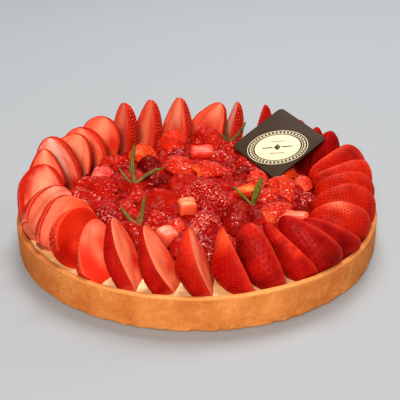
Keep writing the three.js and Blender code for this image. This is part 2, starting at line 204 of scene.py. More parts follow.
def turned(profile, segments, shift):
    """Turns a profile of (radius, height), from its first point on the axis to its last one, also on the
    axis. shift moves the points out and up by their radius, height and angle."""
    ring = np.array(profile[1:-1])[::-1]
    angle = np.linspace(0, 2 * math.pi, segments, endpoint=False)
    radius, turn = np.meshgrid(ring[:, 0], angle, indexing="ij")
    height = np.repeat(ring[:, 1:2], segments, 1)
    outward, upward = shift(radius, height, turn)
    radius = radius + outward
    around = np.stack([radius * np.cos(turn), radius * np.sin(turn), height + upward], -1)
    points = np.concatenate([around.reshape(-1, 3), [(0, 0, profile[-1][1]), (0, 0, profile[0][1])]])
    return points, [face[::-1] for face in capped_faces(len(ring), segments)]


def unit(vectors):
    """Vectors brought to a length of 1."""
    return vectors / np.maximum(np.linalg.norm(vectors, axis=-1, keepdims=True), 1e-6)


def lattice_noise(points, scale, seed=0.0, octaves=3):
    """Fractal noise at each point, about -1 to 1."""
    shift = Vector((seed, 2.3 * seed, -1.7 * seed))
    return np.array([noise.fractal(Vector(point) * scale + shift, 0.9, 2.0, octaves) for point in points])


def arc(middle, radius, start, end, count):
    """Points of a round stretch of a profile, from one angle to another in degrees."""
    turns = np.radians(np.linspace(start, end, count))
    return [(middle[0] + radius * math.cos(t), middle[1] + radius * math.sin(t)) for t in turns]


foot_round = 1.4 * mm
rim_round = 1.1 * mm
shell_segments = 620
wall_rows = np.linspace(foot_round * 1.3, shell_height - rim_round * 1.4, 24)
shell_profile = (
    [(0, 0), (60 * mm, 0), (shell_radius - 4 * mm, 0)]
    + arc((shell_radius - foot_round, foot_round), foot_round, -90, 0, 5)
    + [(shell_radius, height) for height in wall_rows]
    + arc((shell_radius - rim_round, shell_height - rim_round), rim_round, 0, 90, 6)
    + arc((inner_radius + rim_round, shell_height - rim_round), rim_round, 90, 180, 6)
    + [(inner_radius, height) for height in np.linspace(shell_height - 2 * rim_round, cream_top, 5)]
    + [(inner_radius, floor_thickness), (60 * mm, floor_thickness), (0, floor_thickness)]
)


def dough_shift(radius, height, turn):
    """The rim's slow dips, the ragged foot and the crumb of the wall."""
    slow = 0.3 * np.sin(5 * turn + 0.7) + 0.2 * np.sin(11 * turn + 2.1)
    ragged = 0.35 * np.sin(31 * turn) + 0.3 * np.sin(47 * turn + 1.3)
    x, y = radius * np.cos(turn), radius * np.sin(turn)
    flat = np.stack([x, y, height], -1).reshape(-1, 3)
    crumb = lattice_noise(flat, 260, 3.0).reshape(radius.shape)
    lumps = lattice_noise(flat, 60, 8.0, 2).reshape(radius.shape)
    shown = radius > inner_radius - 1 * mm
    foot = np.exp(-((height / (1.8 * mm)) ** 2))
    top = np.clip((height - 0.6 * shell_height) / (0.4 * shell_height), 0, 1)
    drawn_in = foot * (0.5 + 0.9 * np.clip(ragged + crumb, -0.4, 1))
    outward = np.minimum(slow, 0) + 0.16 * crumb + 0.3 * lumps - drawn_in
    outward = np.where(radius < shell_radius - 2 * mm, 0.15 * crumb, outward)
    lifted = foot * np.where(height > 0.1 * mm, 0.8 * np.clip(crumb, 0, 1), 0)
    upward = top * (slow + 0.22 * lumps + 0.1 * crumb) + lifted
    return np.where(shown, outward, 0) * mm, np.where(shown, upward, 0) * mm


shell_points, shell_faces = turned(shell_profile, shell_segments, dough_shift)

# Small pits where air baked out, each a dent with painted shade inside it.
pit_count = 150
pit_depth = 0.45 * mm
pit_stream = repeatable(5)
pits = []
for _ in range(pit_count):
    turn, height = 2 * math.pi * next(pit_stream), (0.12 + 0.8 * next(pit_stream)) * shell_height
    size = (0.35 + 0.9 * next(pit_stream) ** 3) * mm
    pits.append((shell_radius * math.cos(turn), shell_radius * math.sin(turn), height, size))
pits = np.array(pits)
pit_share = np.zeros(len(shell_points))
wall = np.hypot(shell_points[:, 0], shell_points[:, 1]) > shell_radius - 3 * mm
for x, y, z, size in pits:
    away = np.linalg.norm((shell_points - (x, y, z)) / (size, size, 0.8 * size), axis=1)
    pit_share = np.maximum(pit_share, np.where(wall, np.exp(-(away**2)), 0))
shell_points = shell_points - unit(shell_points * (1, 1, 0)) * (pit_depth * pit_share)[:, None]


def add_node(tree, kind, settings=None, **sockets):
    """A node with its settings, and each input as a number, a colour or another node's output. An input is
    named with _ for a space, or by its number after a _."""
    node = tree.nodes.new(kind)
    for name, value in (settings or {}).items():
        setattr(node, name, value)
    for name, value in sockets.items():
        number = name[1:]
        socket = node.inputs[int(number) if number.isdigit() else name.replace("_", " ").strip()]
        if isinstance(value, bpy.types.NodeSocket):
            tree.links.new(value, socket)
        else:
            socket.default_value = value
    return node


class Wiring:
    """The node tree of a finish, with short ways to add nodes and join them."""

    def __init__(self, finish):
        self.tree = finish.node_tree
        self.shader = self.tree.nodes["Principled BSDF"]

    def add(self, kind, settings=None, **sockets):
        """A node of this finish, as add_node makes it."""
        return add_node(self.tree, kind, settings, **sockets)

    def stored(self, name, output="Fac"):
        """An attribute of the piece."""
        return self.add("ShaderNodeAttribute", {"attribute_name": name}).outputs[output]

    def own_place(self):
        """The point's place on the piece."""
        return self.add("ShaderNodeTexCoord").outputs["Object"]

    def grain(self, place, scale, detail=3.0, rough=0.55):
        """Noise of about 0 to 1, with its scale in waves per metre."""
        inputs = {"Vector": place, "Scale": scale, "Detail": detail, "Roughness": rough}
        return self.add("ShaderNodeTexNoise", None, **inputs).outputs[0]

    def spread(self, value, low, high, to_low=0.0, to_high=1.0):
        """A value moved from one range to another and held there."""
        inputs = {"_1": low, "_2": high, "_3": to_low, "_4": to_high}
        return self.add("ShaderNodeMapRange", None, _0=value, **inputs).outputs[0]

    def maths(self, operation, *values):
        """What a Math node makes of the values."""
        inputs = {f"_{i}": value for i, value in enumerate(values)}
        return self.add("ShaderNodeMath", {"operation": operation}, **inputs).outputs[0]

    def times(self, value, factor):
        """One value times another."""
        return self.maths("MULTIPLY", value, factor)

    def times_plus(self, value, factor, more):
        """One value times another, and a third one added."""
        return self.maths("MULTIPLY_ADD", value, factor, more)

    def mixed(self, share, one, other):
        """From one colour to the other by a share."""
        one = (*one, 1) if isinstance(one, tuple) else one
        other = (*other, 1) if isinstance(other, tuple) else other
        return self.add("ShaderNodeMix", {"data_type": "RGBA"}, _0=share, _6=one, _7=other).outputs[2]

    def colour(self, socket):
        """Gives the finish its base colour."""
        self.tree.links.new(socket, self.shader.inputs["Base Color"])

    def bump(self, height, depth, strength=1.0):
        """Dents the finish and its coat by a height of 0 to 1, to a depth in metres."""
        bumped = self.add("ShaderNodeBump", None, Height=height, Distance=depth, Strength=strength)
        self.tree.links.new(bumped.outputs[0], self.shader.inputs["Normal"])
        self.tree.links.new(bumped.outputs[0], self.shader.inputs["Coat Normal"])


shortcrust = finish_of("golden_shortcrust", (0.72, 0.29, 0.09), 0.75, Specular_IOR_Level=0.15)
wires = Wiring(shortcrust)
place = wires.own_place()
patches = wires.spread(wires.grain(place, 45, 3), 0.35, 0.68)
flecks = wires.spread(wires.grain(place, 230, 3), 0.54, 0.7)
crumb = wires.spread(wires.grain(place, 800, 3), 0.35, 0.65)
specks = wires.spread(wires.grain(place, 900, 1), 0.68, 0.76)
across, _, height = wires.add("ShaderNodeSeparateXYZ", None, Vector=place).outputs
rim_edge = wires.spread(height, shell_height - 2 * mm, shell_height)
# Painted shade: the rim is darkened towards its left and right ends.
left_rim_shade = wires.times(wires.spread(across, -30 * mm, -100 * mm), rim_edge)
right_rim_shade = wires.times(wires.spread(across, 50 * mm, 90 * mm), rim_edge)
crust_shade = (0.42, 0.14, 0.04)
baked_and_shaded = wires.mixed(patches, (0.58, 0.21, 0.06), (0.76, 0.33, 0.11))
for share, shade in [
    (wires.spread(height, 0.5 * mm, 3 * mm, 0.55, 0), (0.85, 0.44, 0.18)),
    (wires.spread(height, shell_height - 1.8 * mm, shell_height, 0, 0.6), (0.88, 0.45, 0.19)),
    (wires.times(flecks, 0.3), (0.88, 0.47, 0.2)),
    (wires.times(crumb, 0.3), (0.5, 0.17, 0.045)),
    # painted shade: the wall darker towards the left, and the rim darker at both ends
    (wires.spread(across, -50 * mm, -110 * mm, 0, 0.35), crust_shade),
    (wires.times(left_rim_shade, 0.65), crust_shade),
    (wires.times(right_rim_shade, 0.4), crust_shade),
    (wires.times(specks, 0.5), (0.36, 0.12, 0.03)),
    # painted shade in the pits
    (wires.times(wires.stored("pit"), 0.75), (0.33, 0.11, 0.03)),
]:
    baked_and_shaded = wires.mixed(share, baked_and_shaded, shade)
wires.colour(baked_and_shaded)
wires.bump(wires.grain(place, 1000, 4, 0.65), 0.45 * mm, 1)

shell = add_piece("shortcrust_shell", shell_points, shell_faces, [shortcrust])
set_values(shell, "pit", pit_share)
ride_tart(shell, "shortcrust", "pastry_shell")

# ---- The pastry cream --------------------------------------------------------------------------------------
# Pale yellow cream, spread to just under the rim. It shows in small triangles between the berries, swells a
# little, and holds the marks of the palette knife.

cream_gap = 0.3 * mm
cream_radius = inner_radius - cream_gap
cream_foot = floor_thickness + cream_gap
cream_round = 1 * mm
cream_profile = (
    [(0, cream_top), (70 * mm, cream_top)]
    + [(radius, cream_top) for radius in np.linspace(84 * mm, cream_radius - 1.4 * mm, 26)]
    + arc((cream_radius - cream_round, cream_top - cream_round), cream_round, 80, 0, 4)
    + [(cream_radius, cream_foot), (70 * mm, cream_foot), (0, cream_foot)]
)


def cream_shift(radius, height, turn):
    """A slow swell and the knife's marks on the part that shows."""
    x, y = radius * np.cos(turn), radius * np.sin(turn)
    top = np.stack([x, y, height], -1).reshape(-1, 3)
    swell = lattice_noise(top, 90, 5.0, 2).reshape(radius.shape)
    marks = np.sin(radius / (1.3 * mm) + 6 * np.sin(3 * turn) + 3 * swell)
    upward = np.where(height > cream_top - 1.2 * mm, 0.5 * swell + 0.1 * marks, 0) * mm
    return np.zeros_like(radius), upward


cream_points, cream_faces = turned(cream_profile[::-1], 360, cream_shift)
cream_finish = finish_of("pale_pastry_cream", (0.9, 0.66, 0.34), 0.38, Subsurface_Weight=0.3,
                         Subsurface_Scale=3 * mm, Subsurface_Radius=(1, 0.7, 0.4), Coat_Weight=0.25)
wires = Wiring(cream_finish)
place = wires.own_place()
pale = wires.spread(wires.grain(place, 70, 2), 0.35, 0.7)
wires.colour(wires.mixed(pale, (0.74, 0.5, 0.24), (0.82, 0.62, 0.36)))
wires.bump(wires.grain(place, 500, 3), 0.3 * mm, 0.5)
cream = add_piece("cream_filling", cream_points, cream_faces, [cream_finish])
ride_tart(cream, "cream", "pastry_cream")

# ---- The standing strawberry halves ------------------------------------------------------------------------
# Each is a hulled strawberry cut in two along its axis, pressed into the cream with its outer side against
# the wall and leaning on the one before it. The skin is dimpled round its seeds, and the cut face is wet and
# pale inside.


def berry_radius(share, shoulder=0.6, blunt=1.75, widest=0.3):
    """A berry's radius at a share of its length from the cut calyx to the tip, as a share of its widest. It
    is widest at a share of its length, and the calyx end is as wide as the shoulder says."""
    share = np.asarray(share, float)
    near = np.sqrt(1 - (1 - shoulder**2) * (np.clip(widest - share, 0, None) / widest) ** 2)
    towards_tip = np.clip((share - widest) / (1 - widest), 0, 1)
    curl = np.interp(towards_tip, [0, 0.5, 0.85, 1], [0.8, 0.8, 0.62, 0.5])
    far = np.maximum((1 - towards_tip**blunt) ** curl, 0.07)
    return np.where(share < widest, near, far)


def even_shares(tall, half, outline, spacing):
    """Shares of a berry's length that lie evenly along its skin."""
    fine = np.linspace(0, 1, 400)
    across = half * berry_radius(fine, *outline)
    run = np.concatenate([[0], np.cumsum(np.hypot(np.diff(across), np.diff(fine) * tall))])
    return np.interp(np.linspace(0, run[-1], max(int(run[-1] / spacing), 8) + 1), run, fine)


def half_berry(tall, wide, thick, shoulder=0.6, blunt=1.75, widest=0.3, undercut=0.0, seed_gap=3.4,
               dimple=0.32, mesh_gap=0.85, rim_gap=0.0, glints=0, seed=1):
    """Half a strawberry in millimetres: its axis along +Z from the calyx, its cut face on y = 0 and its skin
    towards +Y. The edge of its cut face on the -X side is drawn in by the undercut, and its skin bulges past
    it. Returns points, faces, which faces are cut, the values for its finishes, and its seeds and glints."""
    half = wide / 2
    draw = repeatable(seed)
    phase = [2 * math.pi * next(draw) for _ in range(6)]
    outline = (shoulder, blunt, widest)
    shares = even_shares(tall, half, outline, mesh_gap)
    around = max(int(math.pi * (half + thick) / 2 / mesh_gap), 8)
    angles = np.concatenate([[0, 0.02], np.linspace(0.06, 0.94, around), [0.98, 1]]) * math.pi
    sides = max(int(wide / 1.5), 8)
    crossing = np.concatenate([[-0.97], np.linspace(-0.9, 0.9, sides), [0.97]])

    def skin_point(share, angle):
        """A point of the skin, which swells unevenly as a grown berry does."""
        radius = berry_radius(share, *outline)
        slow = 0.03 * np.sin(2 * angle + 5 * share + phase[0])
        swell = 1 + (slow + 0.02 * np.sin(5 * angle - 7 * share + phase[1])) * np.sin(angle)
        bend = 0.03 * wide * np.sin(math.pi * share) * math.sin(phase[2])
        near_edge = np.exp(-(((math.pi - angle) / 0.4) ** 2))
        fading = np.interp(share, [0, 0.2, 0.45, 0.8, 1], [1.6, 1.2, 0.7, 0.2, 0])
        drawn_in = 1 - undercut * near_edge * fading
        x = half * radius * np.cos(angle) * drawn_in + bend
        y = thick * radius * np.sin(angle) * swell
        return np.stack([x, y, share * tall + 0 * angle], -1)

    # The seeds sit in rows that are offset by half a gap, closer together near the tip.
    seeds = []
    for row, share in enumerate(even_shares(tall, half, outline, seed_gap)[1:-1]):
        radius = berry_radius(share, *outline) * (half + thick) / 2
        count = max(int(round(math.pi * radius / seed_gap)), 1)
        for spot in range(count):
            step = (spot + 0.25 + 0.5 * (row % 2) + 0.3 * (next(draw) - 0.5)) / count
            if 0.05 < step < 0.95:
                seeds.append((share + 0.22 * seed_gap / tall * (next(draw) - 0.5), step * math.pi))
    if rim_gap:  # a row of seeds cut through by the knife, just behind the edge
        for share in even_shares(tall, half, outline, rim_gap)[1:-1]:
            for step in (0.035, 0.965):
                onward = 0.3 * rim_gap / tall * (next(draw) - 0.5)
                seeds.append((share + onward, (step + 0.02 * (next(draw) - 0.5)) * math.pi))
    seeds = np.array(seeds)

    def on_skin(share, angle):
        """Points of the skin with the way out from it and the way to the tip."""
        nudge = 1e-3
        spots = skin_point(share, angle)
        tipwards = skin_point(share + nudge, angle) - spots
        facing = np.cross(skin_point(share, angle + nudge) - spots, tipwards)
        return spots, unit(facing), unit(tipwards)

    marks = {"seeds": on_skin(seeds[:, 0], seeds[:, 1])}
    if glints:
        strewn = [(0.04 + 0.9 * next(draw), (0.04 + 0.92 * next(draw)) * math.pi) for _ in range(glints)]
        marks["glints"] = on_skin(*np.array(strewn).T)
    seed_spots = marks["seeds"][0]

    share_grid, angle_grid = np.meshgrid(shares, angles, indexing="ij")
    skin = skin_point(share_grid, angle_grid)
    inward = unit(np.stack([0 * share_grid, 0 * share_grid, share_grid * tall], -1) - skin)
    away = np.linalg.norm(skin.reshape(-1, 1, 3) - seed_spots[None], axis=2).min(1).reshape(share_grid.shape)
    pit = np.exp(-((away / (0.29 * seed_gap)) ** 2))
    skin = skin + inward * (dimple * pit * np.clip(5 * np.sin(angle_grid), 0, 1))[..., None]

    row_share, cross = np.meshgrid(shares, crossing, indexing="ij")
    left, right = skin[:, -1, 0][:, None], skin[:, 0, 0][:, None]
    face_x = (left + right) / 2 + cross * (right - left) / 2
    face_y = 0.25 * np.sin(face_x / 2.5 + phase[3]) * np.sin(row_share * tall / 4 + phase[4]) * (1 - cross**4)
    face = np.stack([face_x, face_y, row_share * tall], -1)

    # The calyx end is cut flat, a little hollow in its middle.
    body = np.concatenate([skin, face], 1)
    columns = body.shape[1]
    hull_middle = np.array([0, 0.4 * thick * shoulder, 0])
    shrink = np.array([0.25, 0.5, 0.75, 0.93])
    hull = hull_middle + shrink[:, None, None] * (body[0] - hull_middle)
    hull[..., 2] += (1 - shrink[:, None]) * 0.8
    rows = np.concatenate([hull, body], 0)
    count = len(rows)
    ends = [hull_middle + (0, 0, 0.9), body[-1].mean(0) + (0, 0, 0.25)]
    points = np.concatenate([rows.reshape(-1, 3), ends])
    faces = capped_faces(count, columns)
    on_face = np.tile(np.arange(columns) >= len(angles) - 1, count - 1)
    on_hull = np.repeat(np.arange(count - 1) < len(shrink), columns)
    cut = np.concatenate([on_face | on_hull, [True] * columns, [False] * columns])

    # What the finishes read: each value on the skin, the cut face, the calyx end, and its middle and the tip.
    no_skin, no_face = 0 * angle_grid, 0 * cross
    no_hull = np.zeros((len(shrink), columns))
    from_side = 1 - np.abs(cross)
    hull_share = no_hull + (1 - shrink[:, None])
    near_cut = np.exp(-((np.minimum(angle_grid, math.pi - angle_grid) / 0.2) ** 2))
    places = {
        "rim": (no_skin, from_side * (right - left) / 2, hull_share * half * shoulder, [half * shoulder, 0]),
        "edge": (near_cut, no_face, no_hull, [0, 0]),
        "core": (no_skin, from_side, hull_share, [1, 0]),
        "pit": (pit, no_face, no_hull, [0, 0]),
        "along": (share_grid, row_share, no_hull, [0, 1]),
        "side": (no_skin, cross, no_hull, [0, 0]),
    }
    values = {}
    for name, (on_skin_rows, on_face_rows, on_hull_rows, on_poles) in places.items():
        on_body = np.concatenate([on_skin_rows, on_face_rows], 1)
        values[name] = np.concatenate([on_hull_rows.ravel(), on_body.ravel(), on_poles])
    return {"points": points, "faces": faces, "cut": cut, "values": values, "marks": marks}


# The halves, anticlockwise from the front: where each stands on the ring, its length and width, how far it
# leans to the middle, tilts along the ring and rolls about its axis, in degrees, its form, and its skin and
# flesh. A lit strip is a pale edge of the cut face, partly paler flesh by the skin and partly painted light
# where that edge faces the lamp; a band is the red along its rim, a line the dark line there, and a glow the
# paler skin beside it.
standing_halves = [
    dict(at=-84.5, tall=42, wide=30.5, lean=18, tilt=18, roll=15, blunt=1.5, widest=0.5, undercut=0.3,
         skin="deep", flesh="salmon", strip=1),
    dict(at=-72, tall=41, wide=33.5, lean=39, tilt=15, roll=20, blunt=1.4, shoulder=0.7, widest=0.46,
         skin="deep", flesh="red"),
    dict(at=-65, tall=42, wide=24.5, lean=35, tilt=12, roll=-18, blunt=4, widest=0.36, skin="dark",
         flesh="red"),
    dict(at=-52.5, tall=46, wide=22, lean=30, tilt=26, roll=-2, blunt=1.4, shoulder=0.55, widest=0.2,
         skin="deep", flesh="red"),
    dict(at=-43, tall=44.5, wide=32.5, lean=35, tilt=25, roll=-8, blunt=1.9, shoulder=0.5, widest=0.26,
         skin="dark", flesh="red"),
    dict(at=-31, tall=43, wide=32.5, lean=34, tilt=36, roll=1, blunt=2.2, shoulder=0.55, widest=0.26,
         skin="dark", flesh="red"),
    dict(at=-21.5, tall=38, wide=31.5, lean=72, tilt=31, roll=-15, blunt=2.5, widest=0.48, skin="rough",
         flesh="red"),
    dict(at=-11.5, tall=39.5, wide=33.5, lean=75, tilt=25, roll=-14, blunt=2, shoulder=0.7, widest=0.44,
         skin="rough", flesh="red"),
    dict(at=-2, tall=38, wide=34, lean=75, tilt=18, roll=-2, blunt=2.5, shoulder=0.7, skin="rough",
         flesh="red"),
    dict(at=7.3, tall=37, wide=34, lean=80, tilt=12, roll=8, blunt=1.6, shoulder=0.95, widest=0.2,
         skin="rough", flesh="red"),
    dict(at=18, tall=39, wide=36.5, lean=80, tilt=19, roll=9, blunt=1.4, shoulder=0.95, widest=0.2,
         skin="rough", flesh="red"),
    dict(at=29.5, tall=46, wide=23, lean=10, tilt=16, roll=4, blunt=4, widest=0.2, skin="dark", flesh="red"),
    dict(at=37, tall=43, wide=26, lean=8, tilt=14, roll=0, skin="dark", flesh="red"),
    dict(at=44.5, tall=44, wide=26, lean=12, tilt=10, roll=0, skin="deep", flesh="salmon"),
    dict(at=53.5, tall=45, wide=26, lean=10, tilt=10, roll=0, skin="deep", flesh="salmon"),
    dict(at=63.5, tall=47, wide=26, lean=5, tilt=9, roll=0, skin="deep", flesh="salmon"),
    dict(at=79.5, tall=46.5, wide=24.5, lean=4, tilt=16, roll=-16, blunt=2, skin="pearled", flesh="rosy"),
    dict(at=91, tall=48.5, wide=32, lean=8, tilt=25, roll=-46, widest=0.38, skin="bright", flesh="pale"),
    dict(at=102.7, tall=49.5, wide=31.5, lean=6, tilt=10, roll=-24, skin="pearled", flesh="pale"),
    dict(at=116, tall=50, wide=29.5, lean=8, tilt=10, roll=-7, blunt=1.9, skin="pearled", flesh="salmon"),
    dict(at=127, tall=50.5, wide=29.5, lean=7, tilt=6, roll=8, blunt=2.4, skin="pearled", flesh="salmon"),
    dict(at=140.5, tall=46, wide=32, lean=16, tilt=11, roll=-22, blunt=3.1, widest=0.48, skin="bright",
         flesh="pale", band=0.4, glow=0.6, line=0.5),
    dict(at=149, tall=42, wide=37, lean=3, tilt=0, roll=-6, blunt=2.5, widest=0.44, skin="bright",
         flesh="pale", band=0.3, glow=0.6, line=0.5),
    dict(at=160, tall=46.5, wide=33.5, lean=22, tilt=4, roll=-2, blunt=2.5, shoulder=0.7, widest=0.36,
         skin="bright", flesh="peach", band=0.4, glow=0.6, line=0.5),
    dict(at=168.5, tall=49, wide=34.5, lean=0, tilt=-7, roll=8, blunt=2.6, shoulder=0.75, skin="bright",
         flesh="blush", band=0.6, glow=0.6, line=0.5),
    dict(at=179.5, tall=44, wide=27, lean=2, tilt=7, roll=-1, widest=0.44, skin="deep", flesh="pale",
         band=1, glow=0.6, line=0.5),
    dict(at=-164.5, tall=44.5, wide=32.5, lean=10, tilt=34, roll=-16, blunt=2.6, shoulder=0.75,
         widest=0.54, skin="deep", flesh="pale", band=3, glow=0.8, line=0.7),
    dict(at=-153.5, tall=39.5, wide=34, lean=68, tilt=32, roll=12, blunt=3.1, widest=0.4, skin="deep",
         flesh="peach", band=0.5, glow=0.8),
    dict(at=-142.8, tall=37, wide=39, lean=47, tilt=18, roll=14, blunt=4.3, shoulder=0.7, widest=0.4,
         skin="deep", flesh="peach", band=0.5, glow=0.8),
    dict(at=-132.5, tall=35.5, wide=35.5, lean=64, tilt=14, roll=21, blunt=3.1, shoulder=0.5, widest=0.4,
         skin="ripe", flesh="scarlet", glow=0.5, line=0.15),
    dict(at=-118.9, tall=42, wide=29, lean=47, tilt=30, roll=28, blunt=2.6, shoulder=0.5, skin="ripe",
         flesh="coral", glow=0.9, line=0.05),
    dict(at=-107.6, tall=45, wide=26, lean=20, tilt=26, roll=4, blunt=2, shoulder=0.7, widest=0.46,
         undercut=0.35, skin="deep", flesh="salmon", strip=1, glow=0.1),
    dict(at=-95.9, tall=44.5, wide=26.5, lean=10, tilt=24.5, roll=13, blunt=1.9, shoulder=0.65, widest=0.36,
         undercut=0.5, skin="deep", flesh="salmon", strip=1, glow=0.1),
]
wall_gap = 0.5  # between the wall and the outermost point of a half
skin_gap = 0.35  # between the wall and the skin that is flattened against it
rim_fade = 1.5  # how far over the rim the wall still holds the skin back
berry_sink = 2.5  # how deep a half is pressed into the cream

skin_tints = {
    "bright": (0.55, 0.02, 0.008),
    "pearled": (0.55, 0.02, 0.008),
    "ripe": (0.7, 0.05, 0.02),
    "rough": (0.5, 0.02, 0.006),
    "deep": (0.42, 0.008, 0.006),
    "dark": (0.34, 0.006, 0.009),
}
flesh_tints = {  # the colour near the rim of a cut face, and of its heart
    "pale": ((0.84, 0.2, 0.11), (0.92, 0.42, 0.27)),
    "blush": ((0.87, 0.28, 0.19), (0.96, 0.66, 0.54)),
    "salmon": ((0.76, 0.1, 0.045), (0.87, 0.27, 0.15)),
    "peach": ((0.86, 0.29, 0.17), (0.93, 0.42, 0.28)),
    "coral": ((0.82, 0.09, 0.04), (0.79, 0.07, 0.03)),
    "scarlet": ((0.66, 0.05, 0.014), (0.6, 0.035, 0.012)),
    "red": ((0.58, 0.025, 0.01), (0.66, 0.07, 0.03)),
    "amber": ((0.72, 0.07, 0.022), (0.84, 0.26, 0.07)),
    "rosy": ((0.8, 0.22, 0.16), (0.95, 0.5, 0.42)),
}


def standing_place(at, tall, wide, lean, tilt, roll, shoulder=0.6, widest=0.3):
    """Where a half stands: its foot on the cream, its outer side at the wall, its axis leaning inwards."""
    outward = Vector((math.cos(math.radians(at)), math.sin(math.radians(at)), 0))
    onward = Vector((0, 0, 1)).cross(outward)
    lean_cos, lean_sin = math.cos(math.radians(lean)), math.sin(math.radians(lean))
    axis = Vector((0, 0, lean_cos)) - lean_sin * outward
    axis = math.cos(math.radians(tilt)) * axis - math.sin(math.radians(tilt)) * onward
    skin = -math.cos(math.radians(roll)) * onward - math.sin(math.radians(roll)) * outward
    skin = (skin - skin.dot(axis) * axis).normalized()
    across = skin.cross(axis)
    half, to_shoulder = wide / 2, widest * tall
    reach = max(shoulder * half * lean_cos, half * lean_cos - to_shoulder * lean_sin)
    rise = max(0, half * lean_sin - to_shoulder * lean_cos)
    foot = (inner_radius / mm - wall_gap - reach) * outward
    foot.z = cream_top / mm - berry_sink + rise
    return np.array([across, skin, axis]), np.array(foot)


def held_off_wall(points):
    """Flattens what would enter the shell's wall, in millimetres."""
    radius = np.hypot(points[:, 0], points[:, 1])
    room = inner_radius / mm - skin_gap
    below_rim = np.clip((shell_height / mm + rim_fade - points[:, 2]) / rim_fade, 0, 1)
    held = np.where(radius > room, radius + (room - radius) * below_rim, radius)
    share = held / np.maximum(radius, 1e-6)
    return points * np.stack([share, share, np.ones(len(points))], 1)


# The halves and the heap make room for the plaque, so its size and place are needed here.
plaque_side = 48
plaque_thickness = 1.6
plaque_corner = 3.5
plaque_room = 0.3  # between the plaque's underside and what lies under it
plaque_middle = np.array([57.5, 38, 51])
plaque_normal = Vector((-0.25, -0.41, 0.88)).normalized()
plaque_diagonal = Vector((0.96, -0.22, 0.17))
plaque_diagonal = (plaque_diagonal - plaque_diagonal.dot(plaque_normal) * plaque_normal).normalized()
plaque_axes = np.array([plaque_diagonal, plaque_normal.cross(plaque_diagonal), plaque_normal])


def held_under_plaque(points):
    """Flattens what would pass through the plaque against its underside, in millimetres."""
    local = (points - plaque_middle) @ plaque_axes.T
    reach = np.abs(local[:, 0]) + np.abs(local[:, 1])  # a square that stands on its corner
    under = -plaque_thickness - plaque_room
    inside = (reach < (plaque_side + 2) / math.sqrt(2)) & (local[:, 2] > under)
    lowered = local.copy()
    lowered[:, 2] = under
    return np.where(inside[:, None], plaque_middle + lowered @ plaque_axes, points)


def set_colours(piece, name, colours):
    """Stores one colour for each point, for the finish to read."""
    attribute = piece.data.attributes.new(name, "FLOAT_COLOR", "POINT")
    shades = np.ones((len(colours), 4), np.float32)
    shades[:, :3] = colours
    attribute.data.foreach_set("color", shades.ravel())


def berry_piece(name, part, finishes):
    """A piece from a part in millimetres, with the finishes of its skin and its cut face."""
    piece = add_piece(name, part["points"] * mm, part["faces"], finishes, part["cut"].astype(int))
    for value, numbers in part["values"].items():
        set_values(piece, value, numbers)
    for value, colours in part["tints"].items():
        set_colours(piece, value, colours)
    return piece


def skin_finish(name, roughness, specular, coat, coat_roughness, bumpy):
    """The red skin of a berry, a little uneven, paler by the calyx, with painted shade in the pits of its
    seeds.
    """
    finish = finish_of(name, skin_tints["bright"], roughness, Subsurface_Weight=0.15, Subsurface_Scale=2 * mm,
                       Subsurface_Radius=(1, 0.2, 0.12), Specular_IOR_Level=specular, Coat_Weight=coat,
                       Coat_Roughness=coat_roughness)
    wires = Wiring(finish)
    place = wires.own_place()
    tint = wires.stored("skin_tint", "Color")
    calyx_tint, along = wires.stored("heart_tint", "Color"), wires.stored("along")
    dark_tint = wires.mixed(0.45, tint, (0.12, 0.002, 0.003))
    light_tint = wires.mixed(0.25, tint, (0.9, 0.1, 0.03))
    patches = wires.spread(wires.grain(place, 120, 3), 0.32, 0.68)
    ripe = wires.mixed(patches, dark_tint, light_tint)
    ripe = wires.mixed(0.5, ripe, tint)
    ripe = wires.mixed(wires.spread(along, 0, 0.16, 0.5, 0), ripe, calyx_tint)
    ripe = wires.mixed(wires.stored("edge"), ripe, (0.86, 0.15, 0.075))
    # Painted shade in the dimples round the seeds.
    ripe = wires.mixed(wires.times(wires.stored("pit"), 0.55), ripe, dark_tint)
    wires.colour(ripe)
    wires.bump(wires.grain(place, 380, 4, 0.6), 0.6 * mm, bumpy)
    return finish


